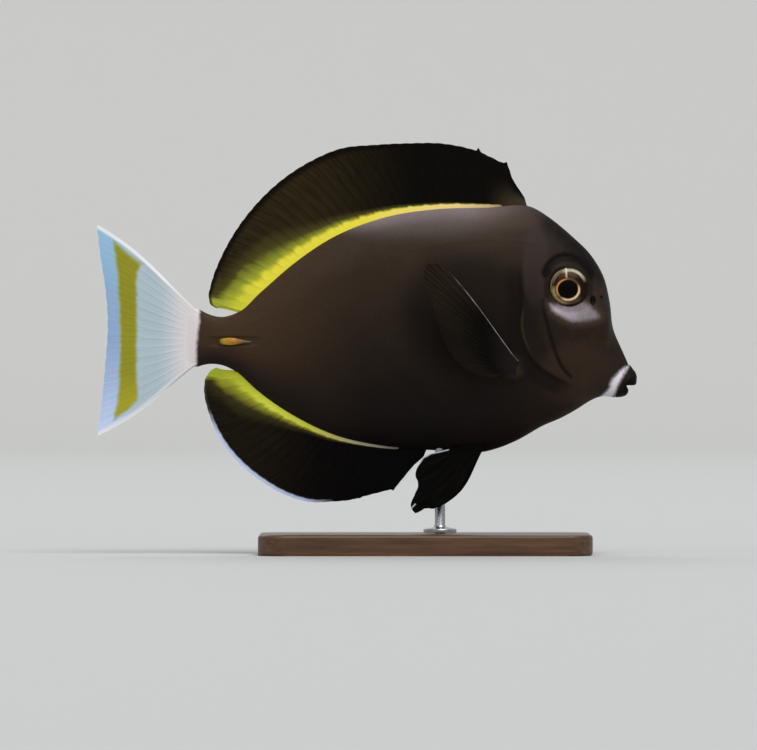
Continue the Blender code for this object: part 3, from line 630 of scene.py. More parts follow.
def scaledSkin():
    # Scaled skin under a film of mucus: chocolate brown over fine velvety scales, with their soft dull sheen
    # painted into the colour, and the wet film a low gloss.
    look = dict(skinLook)
    made, tree, shader = newMaterial("scaledSkin")
    spot = add(tree, "TexCoord", out="Object")
    x, _, z = add(tree, "SeparateXYZ", spot).node.outputs
    kept = {name: add(tree, "Attribute", attribute_name=name, out="Fac") for name in (
        "backToBelly", "underFinShade", "lobe", "backSheen", "gillEdge", "gillEnds", "gillSheen", "jawGlow",
        "napeGlow", "grooveAway", "eyeAway", "lidAway", "cheekEdge", "snoutSheen", "nostrilAway", "bandEdge",
        "lipShare")}
    height, gill, lips = kept["backToBelly"], kept["gillEdge"], kept["lipShare"]

    # broad tone from belly to back, broken by cloudy mottling about 9 mm across; painted light makes the back
    # lighter and painted shade the belly darker, as if lit from above
    cloud = add(tree, "TexNoise", {"Vector": spot, "Scale": 110.0, "Detail": 5.0, "Roughness": 0.6})
    shifted = add(tree, "Math", cloud, -0.5, operation="ADD")
    shifted = add(tree, "Math", shifted, 0.38, height, operation="MULTIPLY_ADD")
    colour = add(tree, "ValToRGB", shifted,
                 stops=[(0.0, look["belly"]), (0.22, look["low"]), (0.5, look["trunk"]),
                        (0.78, look["shoulder"]), (1.0, look["top"])])
    # painted shade: the head darkens along its crest towards the outline
    onCrest = add(tree, "Math", add(tree, "MapRange", height, 0.76, 1.0, interpolation_type="SMOOTHSTEP"),
                  add(tree, "MapRange", x, 0.030, 0.052), operation="MULTIPLY")
    rearLow = add(tree, "Math", add(tree, "MapRange", height, 0.45, 0.06),
                  add(tree, "MapRange", x, 0.002, -0.016), operation="MULTIPLY")
    # painted shade darkens the flank under the pectoral fin
    colour = layered(tree, colour, look, [
        ("head", x, 0.030, 0.046, 0.9), ("crest", onCrest, 0.0, 1.0, 0.92), ("stalk", x, 0.002, -0.030, 0.88),
        ("rearLow", rearLow, 0.0, 1.0, 0.8), ("underFinShade", kept["underFinShade"], 0.0, 1.0, 0.6),
        ("lobe", kept["lobe"], 0.1, 0.95, 0.5)])
    # painted sheen of light along the back under the dorsal fin
    colour = add(tree, "MixRGB", kept["backSheen"], colour, look["backSheen"])
    blotch = add(tree, "TexNoise", {"Vector": spot, "Scale": 260.0, "Detail": 4.0, "Roughness": 0.7})
    warm = add(tree, "Math", add(tree, "MapRange", blotch, 0.45, 0.7, 0.0, 0.75),
               add(tree, "MapRange", x, 0.040, 0.050), operation="MULTIPLY")
    colour = laid(tree, colour, look["cheekWarm"], warm, 0.0, 1.0)

    # scales: a staggered lattice of small overlapping plates
    flow = add(tree, "Attribute", attribute_name="flow", out="Vector")
    bend = add(tree, "TexNoise", {"Vector": spot, "Scale": 220.0, "Detail": 2.0}, out="Color")
    bent = add(tree, "MixRGB", 0.30, flow, bend, blend_type="ADD")
    lattice = add(tree, "Mapping", {"Vector": bent, "Rotation": (0, 0, math.radians(45)),
                                    "Scale": (1 / look["scalePitch"],) * 3})
    scales = add(tree, "TexVoronoi", {"Vector": lattice, "Scale": 1.0, "Randomness": 0.5},
                 voronoi_dimensions="2D")
    tint = add(tree, "MapRange", scales, 0.1, 0.75, 1.06, 0.92)
    colour = add(tree, "MixRGB", 1.0, colour, tint, blend_type="MULTIPLY")

    # shade along the rear of the gill cover, in its cleft and in the cheek's groove
    gillBand, cleft, slit = (
        add(tree, "Math", near(tree, gill, middle, reach), kept["gillEnds"], operation="MULTIPLY")
        for middle, reach in ((2.6, 2.8), (-1.9, 3.3), (-0.5, 1.1)))
    gillLine = add(tree, "Math", near(tree, z, 0.0535, 0.0095), near(tree, gill, 0.25, 0.55),
                   operation="MULTIPLY")
    colour = layered(tree, colour, look, [
        ("gillBand", gillBand, 0.0, 1.0, 0.5), ("gillSheen", kept["gillSheen"], 0.0, 1.0, 0.26),
        ("jawGlow", kept["jawGlow"], 0.0, 1.0, 0.38), ("napeGlow", kept["napeGlow"], 0.0, 1.0, 0.3),
        ("cleft", cleft, 0.0, 1.0, 0.72), ("groove", slit, 0.0, 1.0, 0.6),
        ("gillLine", gillLine, 0.0, 1.0, 0.6), ("groove", kept["grooveAway"], 0.75, 0.1, 0.85)])

    # markings, each with a slightly ragged edge
    ragged = add(tree, "TexNoise", {"Vector": spot, "Scale": 1100.0, "Detail": 2.0})
    wander = add(tree, "MapRange", ragged, 0.3, 0.7, -0.12, 0.12)
    cheek = add(tree, "Math", kept["cheekEdge"], wander, operation="ADD")
    band = add(tree, "Math", kept["bandEdge"], wander, operation="ADD")
    lower = add(tree, "Math", add(tree, "MapRange", z, 0.0562, 0.0505, 0.0, 0.7), wander, operation="ADD")
    tail = add(tree, "Math", x, 1000.0, lower, operation="MULTIPLY_ADD")
    mottle = add(tree, "MapRange", blotch, 0.35, 0.65, 0.86, 1.16)
    cheekTone = laid(tree, look["cheekRear"], look["cheek"], x, 0.0462, 0.0535)
    look["cheekTone"] = add(tree, "MixRGB", 1.0, cheekTone, mottle, blend_type="MULTIPLY")
    white = laid(tree, look["band"], look["bandTop"], z, 0.0422, 0.0455)
    look["white"] = laid(tree, white, look["bandLow"], z, 0.0398, 0.0372)
    # the lid's near-black arc is painted shade in its fold above the eye, and the nostrils' black is painted
    # shade in their pits
    colour = layered(tree, colour, look, [
        ("orbit", kept["eyeAway"], 6.7, 5.5, 0.85), ("lid", kept["lidAway"], 1.6, 0.5, 0.96),
        ("snout", kept["snoutSheen"], 0.0, 1.0, 0.12), ("cheekGlow", cheek, -2.4, -0.3, 0.45),
        ("cheekTone", cheek, -0.75, 0.8, 0.97), ("pit", kept["nostrilAway"], 1.35, 0.85, 0.97),
        ("bandEdge", band, -0.45, 0.2, 0.9), ("white", band, -0.05, 0.75, 1.0),
        ("lipGlow", lips, 0.10, 0.2, 1.0), ("lip", lips, 0.25, 0.5, 1.0),
        ("tailBase", tail, look["tailBaseX"] + 0.55, look["tailBaseX"] - 0.55, 1.0)])

    # relief: scales, then fine pores over all
    scaleBump = add(tree, "Bump", {"Height": scales, "Strength": 0.3, "Distance": look["bump"]}, invert=True)
    pores = add(tree, "TexNoise", {"Vector": spot, "Scale": 1600.0, "Detail": 3.0})
    fineBump = add(tree, "Bump", {"Height": pores, "Strength": 0.25, "Distance": 0.00006,
                                  "Normal": scaleBump})
    shine = add(tree, "MapRange", cloud, 0.3, 0.7, look["roughness"] - 0.06, look["roughness"] + 0.08)
    plug(tree, shader, {"Base Color": colour, "Normal": fineBump, "Roughness": shine,
                        "Specular IOR Level": 0.07, "Coat Weight": 0.015, "Coat Roughness": 0.28})
    return made


# fins: a grid for each, drawn out along its rays, with the rays raised on both faces

dorsalPlan = {
    "rays": 38, "spines": 9, "columns": 11, "rows": 44, "sink": 1.5, "bow": 0.04,
    "rootX": (38.4, -31.5), "rootHalf": 0.52, "tipHalf": 0.14, "ridge": 0.05, "rise": 0.1,
    "notch": (0.12, 0.1),
    "tips": [(26.9, 97.0, 1.0, 0.4), (33.6, 93.8, 0.7, 0.5)],    # spines that stand out of the margin
    # yellow band along the root: x on the back, thickness of the yellow, where its fading edge ends
    "band": [(33.0, 0.01, 0.1), (31.5, 0.35, 0.5), (28.0, 0.6, 0.9), (21.0, 0.8, 1.2), (11.0, 1.0, 1.6),
             (0.4, 1.35, 2.5), (-10.0, 1.8, 4.4), (-15.3, 2.1, 6.4), (-20.5, 2.4, 8.8), (-26.0, 2.8, 11.2),
             (-31.0, 3.2, 13.8), (-36.0, 3.6, 15.0)],
    "margin": [(37.7, 86.3), (35.0, 90.6), (33.7, 93.7), (31.6, 94.8), (26.9, 97.0), (18.5, 98.9), (9.9, 99.0),
               (1.7, 98.6), (-6.0, 97.8), (-13.7, 94.6), (-21.2, 89.6), (-28.4, 82.3), (-34.8, 72.2),
               (-37.5, 65.2), (-38.1, 62.0), (-37.7, 60.3), (-36.4, 59.3)],
}
analPlan = {
    "rays": 30, "spines": 3, "columns": 11, "rows": 38, "sink": 1.5, "bow": -0.04,
    "rootX": (14.2, -32.6), "rootHalf": 0.52, "tipHalf": 0.14, "ridge": 0.05, "rise": 0.1,
    "notch": (0.15, 0.1),
    "tips": [(6.5, 15.6, 0.7, 0.4), (-1.5, 13.4, 0.5, 0.35)],
    "band": [(8.5, 0.01, 0.1), (6.5, 0.25, 0.35), (2.0, 0.38, 0.55), (-3.6, 0.5, 0.8), (-13.8, 0.85, 1.9),
             (-20.7, 1.3, 3.8), (-25.3, 1.7, 5.8), (-30.0, 2.3, 8.0), (-34.6, 3.2, 9.6)],
    "margin": [(13.4, 23.3), (11.5, 21.6), (7.6, 17.0), (6.6, 15.9), (5.2, 15.5), (-0.2, 14.1), (-4.0, 13.1),
               (-8.8, 12.7), (-13.6, 12.6), (-19.3, 14.2), (-24.9, 17.3), (-30.0, 21.3), (-34.5, 26.5),
               (-38.1, 34.2), (-39.2, 39.6), (-38.9, 42.3), (-37.9, 44.0), (-36.4, 45.0)],
}
tailPlan = {
    "rays": 16, "spines": 0, "columns": 24, "rows": 60, "sink": 1.6, "rootHalf": 0.72, "tipHalf": 0.15,
    "ridge": 0.02, "notch": (0.2, 0.14), "bow": 0.04, "rise": 0.35,
    # upright yellow bar, drawn out to a point along each edge of the fin
    "bar": [(-61.0, 75.5), (-60.4, 71.0), (-59.9, 66.0), (-59.5, 58.0), (-59.3, 49.5), (-59.6, 41.0),
            (-60.1, 36.5), (-60.9, 32.3), (-57.8, 34.7), (-55.3, 37.2), (-55.2, 39.2), (-55.5, 42.0),
            (-55.4, 51.4), (-55.4, 60.0), (-55.5, 66.0), (-55.2, 68.2), (-54.3, 69.8), (-57.6, 72.5)],
    "root": [(-41.0, 58.9), (-41.3, 45.4)],
    "margin": [(-65.0, 79.5), (-64.2, 72.1), (-63.0, 64.4), (-62.4, 54.1), (-62.9, 46.8), (-63.6, 39.1),
               (-64.9, 28.5)],
}
pectoralPlan = {
    "rays": 16, "spines": 1, "columns": 14, "rows": 46, "sink": 0.9, "rootHalf": 0.6, "tipHalf": 0.13,
    "ridge": 0.07, "notch": (0.2, 0.2), "bow": 0.02, "flare": 15.0, "clear": 1.05, "dip": 1.5, "rise": 0.2,
    "root": [(35.8, 47.0), (35.0, 43.3)],
    "margin": [(17.8, 69.9), (14.2, 69.5), (13.7, 65.4), (15.4, 60.6), (17.1, 55.0), (19.0, 50.0),
               (21.9, 45.9), (25.3, 43.5), (30.1, 42.3)],
}
pelvicPlan = {
    "rays": 6, "spines": 1, "columns": 22, "rows": 40, "sink": 2.0, "rootHalf": 0.55, "tipHalf": 0.15,
    "ridge": 0.09, "notch": (0.3, 0.35), "bow": -0.09, "flare": 7.0, "rise": 0.1,
    "side": 2.3, "sideAtRoot": 0.65,     # mm from the middle, and how much less wide the body may be there
    "root": [(28.0, 24.2), (19.9, 25.0)],
    "margin": [(18.6, 12.1), (15.6, 11.0), (13.2, 11.0), (11.3, 9.9), (10.6, 11.4), (11.1, 13.8),
               (12.3, 16.4), (11.7, 18.4), (12.5, 21.8), (13.6, 23.2), (15.4, 24.2)],
    # pale marks: along the last ray, and a painted highlight near the tip
    "pale": [[(19.6, 25.2), (15.4, 24.3), (13.6, 23.3), (12.7, 22.0)], [(10.7, 11.2), (11.7, 12.2)]],
}


raySway = 0.12                       # mm that neighbouring rays lean out of a fin's plane


def rayRidges(plan, across, out):
    # 1 on the crest of a ray and 0 on the skin between; soft rays fork towards the margin
    phase = across * plan["rays"] % 1.0 - 0.5
    number = np.floor(across * plan["rays"])
    soft = number >= plan["spines"]
    fork = np.where(soft, 0.24 * smooth(0.35, 0.95, out), 0.0)
    # rays that are drawn finely enough fork twice
    second = np.where(soft, 0.10 * smooth(0.68, 1.0, out), 0.0) * (plan["columns"] > 20)
    width = np.where(soft, 0.14 - 0.05 * smooth(0.3, 0.9, out), 0.17 - 0.08 * out)
    ridge = np.zeros(phase.shape)
    for a in (-1, 1):
        for b in (-1, 1):
            ridge = np.maximum(ridge, bell(phase - a * fork - b * second, width))
    return ridge, phase, soft


def makeFin(name, plan, slot, node, material, rootAt, marksOf, sideAt=None, side=1, bowAt=None):
    columns, rows = plan["rays"] * plan["columns"], plan["rows"]
    selectNone()
    bpy.ops.mesh.primitive_grid_add(x_subdivisions=columns, y_subdivisions=rows, size=2)
    piece = active(name)
    flat = placesOf(piece)
    across = np.clip((flat[:, 0] + 1) / 2, 0, 1)
    row = (flat[:, 1] + 1) / 2
    start = rootAt(across)
    end = along(plan["margin"], across)
    ray = end - start
    length = np.linalg.norm(ray, axis=1)
    sunk = plan["sink"] / length
    reach = -sunk + (1 + sunk) * row
    out = np.clip(reach, 0, 1)
    ridge, phase, soft = rayRidges(plan, across, out)
    deep = np.where(soft, plan["notch"][1], plan["notch"][0])
    reach = reach * (1 - deep * np.abs(phase * 2) ** 2 / length * smooth(0.5, 1.0, row))
    for atX, atZ, rise, width in plan.get("tips", []):
        reach = reach * (1 + rise * bell(np.hypot(end[:, 0] - atX, end[:, 1] - atZ), width) / length
                         * smooth(0.6, 1.0, row))
    square = np.stack([ray[:, 1], -ray[:, 0]], axis=1)
    bow = (bowAt(across) if bowAt else plan["bow"]) * np.sin(np.pi * np.clip(reach, 0, 1) ** 1.4)
    place = start + ray * reach[:, None] + square * bow[:, None]
    y = sideAt(place, start, out) if sideAt else np.zeros(len(across))
    y = y + raySway * np.sin(across * plan["rays"] * 0.9 + 2.0 * out) * out ** 1.5
    moveTo(piece, np.stack([place[:, 0], y * side, place[:, 1]], axis=1) * mm)

    # thickness: thin skin, thicker on the rays and towards the root
    half = plan["rootHalf"] + (plan["tipHalf"] - plan["rootHalf"]) * out ** 0.7
    ridge = ridge * smooth(0.0, plan["rise"], out)
    half = half * (0.92 + 0.08 * ridge) + plan["ridge"] * (1 - 0.55 * out) * ridge
    edge = np.minimum(across, 1 - across) * plan["rays"]
    half = half * (0.45 + 0.55 * smooth(0.0, 0.5, edge))
    half = half * (1 - 0.45 * smooth(0.96, 1.0, row))
    thickest = float(half.max())
    group = piece.vertex_groups.new(name="thickness")
    for k, share in enumerate(half / thickest):
        group.add([k], float(share), "REPLACE")
    keep(piece, "finPlace", np.stack([across * plan["rays"], out, length * out], axis=1))
    keep(piece, "rayCrest", ridge)
    for mark, values in marksOf(place[:, 0], place[:, 1], out, across).items():
        keep(piece, mark, values)
    wall = piece.modifiers.new("wall", "SOLIDIFY")
    wall.thickness = 2 * thickest * mm
    wall.offset = 0
    wall.vertex_group = "thickness"
    wall.use_even_offset = False
    applyAll(piece)
    piece.vertex_groups.clear()
    mergeAndTurnOut(piece)
    print(name + ":", len(piece.data.vertices), "vertices")
    settle(piece, material, slot, node, angle=75)


def straightRoot(ends):
    first, last = np.array(ends[0]), np.array(ends[1])
    return lambda across: first + (last - first) * across[:, None]


def backRoot(across):
    x = dorsalPlan["rootX"][0] + (dorsalPlan["rootX"][1] - dorsalPlan["rootX"][0]) * across
    return np.stack([x, backAt(x) + seam], axis=1)


def bellyRoot(across):
    x = analPlan["rootX"][0] + (analPlan["rootX"][1] - analPlan["rootX"][0]) * across
    return np.stack([x, bellyAt(x) - seam], axis=1)


def pelvicRoot(across):
    rough = straightRoot(pelvicPlan["root"])(across)
    heights = np.linspace(20, 60, 500)
    found = []
    for x in np.linspace(rough[:, 0].min(), rough[:, 0].max(), 20):
        wide = bodySide(np.full(500, x), heights) > pelvicPlan["side"] - pelvicPlan["sideAtRoot"]
        found.append((x, heights[wide & (heights > bellyAt(x))][0]))
    return np.stack([rough[:, 0], np.interp(rough[:, 0], *zip(*found)) - seam], axis=1)


def pectoralSide(place, start, out):
    lean = math.tan(math.radians(pectoralPlan["flare"]))
    away = np.hypot(place[:, 0] - start[:, 0], place[:, 1] - start[:, 1])
    sunk = pectoralPlan["dip"] * smooth(0.0, pectoralPlan["sink"], away)
    return bodySide(start[:, 0], start[:, 1]) + pectoralPlan["clear"] + np.where(out > 0, lean * away, -sunk)


def pelvicSide(place, start, out):
    lean = math.tan(math.radians(pelvicPlan["flare"]))
    return pelvicPlan["side"] + lean * np.maximum(0, pelvicPlan["root"][0][1] - place[:, 1])


def bandMarks(plan, columns):
    # how far a midline fin's places are from the body, as shares of its band and of the band's fading edge
    def marks(x, z, out, across):
        line = sectionTable[::8, columns]
        away, share = lineDistance(x, z, line)
        atX = np.interp(share, np.linspace(0, 1, len(line)), line[:, 0])
        table = np.array(plan["band"])[::-1]
        solid, faded = (np.interp(atX, table[:, 0], table[:, c]) for c in (1, 2))
        none = 9 * (1 - smooth(0.0, 0.15, solid))
        fade = (away - solid) / np.maximum(faded - solid, 0.1)
        return {"bandShare": away / solid + none, "fadeShare": fade + none}
    return marks


def leadingEdge(x, z, out, across):
    # distance from the first ray of the pectoral fin
    first = across < 1e-6
    order = np.argsort(out[first])
    edgeX, edgeZ = (np.interp(out, out[first][order], v[first][order]) for v in (x, z))
    return {"paleAway": np.hypot(x - edgeX, z - edgeZ)}


def paleRayAndGlint(x, z, out, across):
    # distance from the pelvic fin's pale marks: its pale last ray and the painted highlight near its tip
    return {"paleAway": np.minimum(*(lineDistance(x, z, line)[0] for line in pelvicPlan["pale"]))}


def tailMarks(x, z, out, across):
    # distance from the yellow bar's outline, and from the tail fin's upper and lower edges
    edge = np.minimum(across, 1 - across) * (14 + 37 * out)
    return {"barEdge": insideDistance(x, z, tailPlan["bar"], rounded=False), "edgeAway": edge}


def makeFins():
    sideSkin, lowSkin = darkFinSkin("sideFinSkin", "side"), darkFinSkin("lowFinSkin", "low")
    makeFin("dorsalFin", dorsalPlan, "dark_fins", "dorsal_fin", darkFinSkin("backFinSkin", "back"), backRoot,
            bandMarks(dorsalPlan, [0, 1]))
    makeFin("analFin", analPlan, "dark_fins", "anal_fin", darkFinSkin("ventFinSkin", "vent"), bellyRoot,
            bandMarks(analPlan, [2, 3]))
    makeFin("tailFin", tailPlan, "tail_fin", "tail_fin", paleFinSkin(), straightRoot(tailPlan["root"]),
            tailMarks, bowAt=lambda across: tailPlan["bow"] * (1 - 2 * across))
    for side, word, tag in bothSides:
        makeFin("pectoralFin" + tag, pectoralPlan, "dark_fins", "pectoral_fin_" + word, sideSkin,
                straightRoot(pectoralPlan["root"]), leadingEdge, pectoralSide, side)
        makeFin("pelvicFin" + tag, pelvicPlan, "dark_fins", "pelvic_fin_" + word, lowSkin, pelvicRoot,
                paleRayAndGlint, pelvicSide, side, bowAt=lambda across: pelvicPlan["bow"] * (1 - across))


finLook = {
    "back": {"web": "#0b0805", "rearWeb": "#2e2514", "ray": "#090704", "rearRay": "#1d180b", "line": 0.5,
             "rear": (0.014, -0.020), "fade": "#9ba333", "dusk": "#4b451f", "rim": "#090705", "rimWidth": 1.1,
             "band": [(-34.5, "#a8ae3a"), (-31.5, "#cfcf3c"), (-26.0, "#eee344"), (0.0, "#fbea4c"),
                      (12.0, "#ffe878"), (21.0, "#fde094"), (29.0, "#d8bb8a")],
             "frontGlow": "#43382a"},
    "vent": {"web": "#070505", "rearWeb": "#1d170d", "ray": "#050404", "rearRay": "#140f08", "line": 0.5,
             "rear": (-0.006, -0.034), "fade": "#9a9c30", "dusk": "#3a341a", "paleRim": "#c3d4f4",
             "rimWidth": 0.85,
             "band": [(-35.5, "#a8b030"), (-29.0, "#d0d640"), (-24.0, "#e2e850"), (-14.0, "#e0e04e"),
                      (-8.0, "#d2cc78"), (-3.6, "#bdba90"), (2.0, "#a2a28f"), (6.0, "#807d78")]},
    "side": {"web": "#080705", "ray": "#050403", "rearRay": "#16120e", "line": 0.7, "clear": "#18130f",
             "clearTop": "#2a2118", "pale": "#a19b98", "paleWidth": 0.14, "root": "#241d1d",
             "lastRays": "#271f18"},
    # the pelvic fins' pale colour lies along the last ray and, as a painted highlight, near the tip
    "low": {"web": "#040302", "rearWeb": "#080706", "ray": "#030202", "rearRay": "#050403", "line": 0.6,
            "pale": "#cdd3dc", "paleWidth": 0.12},
    "jointPitch": 0.55,              # mm between the joints of a soft ray
}


def finReadings(tree, spread, roughness):
    # what a fin's finish reads: its place in the fin, its place, the rays' crests and streaks along the rays
    finPlace = add(tree, "Attribute", attribute_name="finPlace", out="Vector")
    place = add(tree, "SeparateXYZ", finPlace).node.outputs
    crest = add(tree, "Attribute", attribute_name="rayCrest", out="Fac")
    axes = add(tree, "SeparateXYZ", add(tree, "TexCoord", out="Object")).node.outputs
    drawn = add(tree, "Mapping", {"Vector": add(tree, "CombineXYZ", place[0], place[2]), "Scale": spread})
    streak = add(tree, "TexNoise", {"Vector": drawn, "Scale": 1.0, "Detail": 4.0, "Roughness": roughness},
                 noise_dimensions="2D")
    return place, axes, crest, streak


def rootBand(tree, colour, look, place, axes, crest, streak):
    # the band along a fin's root: solid beside the body, fading out in faint streaks between the rays
    ray, out, _ = place
    x, _, z = axes
    solid = add(tree, "Attribute", attribute_name="bandShare", out="Fac")
    faded = add(tree, "Attribute", attribute_name="fadeShare", out="Fac")
    uneven = add(tree, "MapRange", streak, 0.3, 0.7, -0.06, 0.06)
    dull = add(tree, "Math", crest, 0.05, faded, operation="MULTIPLY_ADD")
    for more in (uneven, add(tree, "MapRange", out, 0.55, 1.0, 0.0, 0.9)):
        dull = add(tree, "Math", dull, more, operation="ADD")
    colour = layered(tree, colour, look, [("dusk", dull, 1.6, 0.45, 1.0), ("fade", dull, 0.72, 0.05, 1.0)])
    bright = add(tree, "ValToRGB", add(tree, "MapRange", x, -0.040, 0.040),
                 stops=[((at + 40) / 80, shade) for at, shade in look["band"]])
    colour = laid(tree, colour, bright, dull, 0.22, -0.28)
    # the band climbs a little between every second ray
    lobes = add(tree, "Math", add(tree, "Math", ray, math.pi, operation="MULTIPLY"), operation="COSINE")
    for value, share in ((uneven, 1.6), (crest, 0.14), (lobes, 0.16)):
        solid = add(tree, "Math", value, share, solid, operation="MULTIPLY_ADD")
    colour = laid(tree, colour, bright, solid, 1.35, 0.7)
    if "frontGlow" in look:
        atFront = add(tree, "Math", add(tree, "MapRange", x, 0.0280, 0.0370),
                      add(tree, "MapRange", out, 0.75, 0.05), operation="MULTIPLY")
        colour = laid(tree, colour, look["frontGlow"], atFront, 0.0, 0.9, 0.85)
    # the rim of the fin
    fromRim = add(tree, "Math", 1.0, out, operation="SUBTRACT")
    if "rim" in look:
        return laid(tree, colour, look["rim"], fromRim, look["rimWidth"] / 9, look["rimWidth"] / 30, 0.85)
    rimmed = laid(tree, colour, look["paleRim"], fromRim, look["rimWidth"] / 14, look["rimWidth"] / 30)
    onEdge = add(tree, "Math", add(tree, "MapRange", x, -0.008, -0.015),
                 add(tree, "MapRange", z, 0.0350, 0.0292, 0.04, 1.0), operation="MULTIPLY")
    return add(tree, "MixRGB", onEdge, colour, rimmed)


def paleMarks(tree, colour, look, place, streak):
    # pale marks along a fin's edge, a little broken
    ray, out, _ = place
    away = add(tree, "Math", streak, 0.25, add(tree, "Attribute", attribute_name="paleAway", out="Fac"),
               operation="MULTIPLY_ADD")
    if "root" in look:
        colour = layered(tree, colour, look, [("root", out, 0.42, 0.05, 0.8),
                                              ("lastRays", ray, 13.5, 15.8, 0.5)])
        spot = add(tree, "TexCoord", out="Object")
        breaks = add(tree, "TexNoise", {"Vector": spot, "Scale": 330.0, "Detail": 3.0})
        away = add(tree, "Math", breaks, 0.55, away, operation="MULTIPLY_ADD")
        away = add(tree, "Math", away, -0.24, operation="ADD")
        away = add(tree, "Math", add(tree, "MapRange", out, 0.8, 0.97), 0.3, away, operation="MULTIPLY_ADD")
    return laid(tree, colour, look["pale"], away, look["paleWidth"] + 0.28, look["paleWidth"] + 0.02, 0.9)


def darkFinSkin(name, kind):
    # Fin membrane on bony rays: a thin leathery web that is almost black, a little lighter where light
    # comes through between the rays, with a low wet gloss.
    look = dict(finLook[kind])
    made, tree, shader = newMaterial(name)
    place, axes, crest, streak = finReadings(tree, (2.3, 0.2, 1.0), 0.6)
    if "clear" in look:
        rear = add(tree, "MapRange", place[1], 0.25, 0.85, interpolation_type="SMOOTHSTEP")
        look["rearWeb"] = laid(tree, look["clear"], look["clearTop"], axes[2], 0.050, 0.067)
    elif "rear" in look:
        rear = add(tree, "MapRange", axes[0], *look["rear"], interpolation_type="SMOOTHSTEP")
    else:
        rear = add(tree, "MapRange", streak, 0.35, 0.65)
    web = add(tree, "MixRGB", rear, look["web"], look["rearWeb"])
    ray = add(tree, "MixRGB", rear, look["ray"], look["rearRay"])
    colour = laid(tree, web, ray, crest, 0.15, 0.75, look["line"])
    cloud = add(tree, "MapRange", streak, 0.3, 0.7, 0.82, 1.2)
    colour = add(tree, "MixRGB", 1.0, colour, cloud, blend_type="MULTIPLY")
    if "band" in look:
        colour = rootBand(tree, colour, look, place, axes, crest, streak)
    else:
        colour = paleMarks(tree, colour, look, place, streak)

    # relief: the joints of the rays, then the streaks
    joints = add(tree, "Math", place[2], 2 * math.pi / finLook["jointPitch"], operation="MULTIPLY")
    joints = add(tree, "Math", add(tree, "Math", joints, operation="SINE"), crest, operation="MULTIPLY")
    bump = add(tree, "Bump", {"Height": joints, "Strength": 0.3, "Distance": 0.00004})
    grain = add(tree, "Bump", {"Height": streak, "Strength": 0.3, "Distance": 0.0001, "Normal": bump})
    plug(tree, shader, {"Base Color": colour, "Normal": grain, "Roughness": 0.55, "Specular IOR Level": 0.04})
    return made


tailLook = {"root": "#e4dddf", "middle": "#b5c6d1", "rear": "#93adda", "rearTop": "#98c6e6",
            "rearLow": "#c8dbfc", "edge": "#f0f2f6", "ray": "#9fb5c3",
            "bar": "#959219", "barLow": "#a9a31c", "barRim": "#a1ab56"}


def paleFinSkin():
    # Fin membrane with little pigment: milky white at the root and edges, bluish where it is thin,
    # with a solid yellow bar.
    look = tailLook
    made, tree, shader = newMaterial("paleFinSkin")
    (_, out, _), (x, _, z), crest, streak = finReadings(tree, (2.0, 0.12, 1.0), 0.5)
    rearTone = add(tree, "ValToRGB", add(tree, "MapRange", z, 0.030, 0.078),
                   stops=[(0.0, look["rearLow"]), (0.45, look["rear"]), (1.0, look["rearTop"])])
    colour = laid(tree, look["root"], look["middle"], x, -0.0425, -0.0510)
    colour = laid(tree, colour, rearTone, x, -0.0560, -0.0605)
    lines = add(tree, "Math", crest, streak, operation="MULTIPLY")
    lined = laid(tree, colour, look["ray"], lines, 0.2, 0.7, 0.3)
    colour = add(tree, "MixRGB", add(tree, "MapRange", out, 0.15, 0.5), colour, lined)
    edge, bar = (add(tree, "Attribute", attribute_name=name, out="Fac") for name in ("edgeAway", "barEdge"))
    edged = laid(tree, colour, look["edge"], edge, 1.5, 0.6, 0.95)
    colour = add(tree, "MixRGB", add(tree, "MapRange", out, 0.1, 0.35), colour, edged)
    bar = add(tree, "Math", bar, add(tree, "MapRange", streak, 0.3, 0.7, -0.15, 0.15), operation="ADD")
    colour = laid(tree, colour, look["barRim"], bar, -0.55, 0.15, 0.8)
    # painted light: the bar is lighter low down, to make up for the weaker light that falls there
    yellow = laid(tree, look["bar"], look["barLow"], z, 0.046, 0.036)
    colour = laid(tree, colour, yellow, bar, -0.15, 0.6)
    grain = add(tree, "Bump", {"Height": streak, "Strength": 0.3, "Distance": 0.0001})
    plug(tree, shader, {"Base Color": colour, "Normal": grain, "Roughness": 0.5, "Specular IOR Level": 0.3})
    return made


# eyes

def eyeAxes(side):
    # an eye's middle, the way it looks, and the directions up and ahead across its face
    look = unit((eyePlan["look"][0], side * eyePlan["look"][1], eyePlan["look"][2]))
    middle = np.array([eyePlan["middle"][0], side * eyePlan["side"], eyePlan["middle"][1]])
    up = unit(np.array([0, 0, 1.0]) - look[2] * look)
    ahead = np.cross(look, up) * side
    ahead = ahead if ahead[0] > 0 else -ahead
    return middle, look, up, ahead


def makeEyes():
    finish = wetEye()
    for side, word, tag in bothSides:
        selectNone()
        bpy.ops.mesh.primitive_uv_sphere_add(segments=eyePlan["segments"], ring_count=eyePlan["rings"],
                                             radius=1.0)
        piece = active("eye" + tag)
        ball = placesOf(piece)
        middle, look, up, ahead = eyeAxes(side)
        across, rise = (ball[:, :2] * eyePlan["radius"]).T
        front = ball[:, 2] > 0
        bulge = eyePlan["bulge"] * (1 - smooth(*eyePlan["bulgeFade"], np.hypot(across, rise)))
        depth = ball[:, 2] * eyePlan["halfDepth"] + np.where(front, bulge, 0)
        places = middle + across[:, None] * ahead + rise[:, None] * up + depth[:, None] * look
        moveTo(piece, places * mm)
        keep(piece, "inEye", np.stack([across, rise, np.where(front, 0.0, 1.0)], axis=1))
        mergeAndTurnOut(piece)
        settle(piece, finish, "eyes", "eye_" + word, angle=80)
    print("eyes")


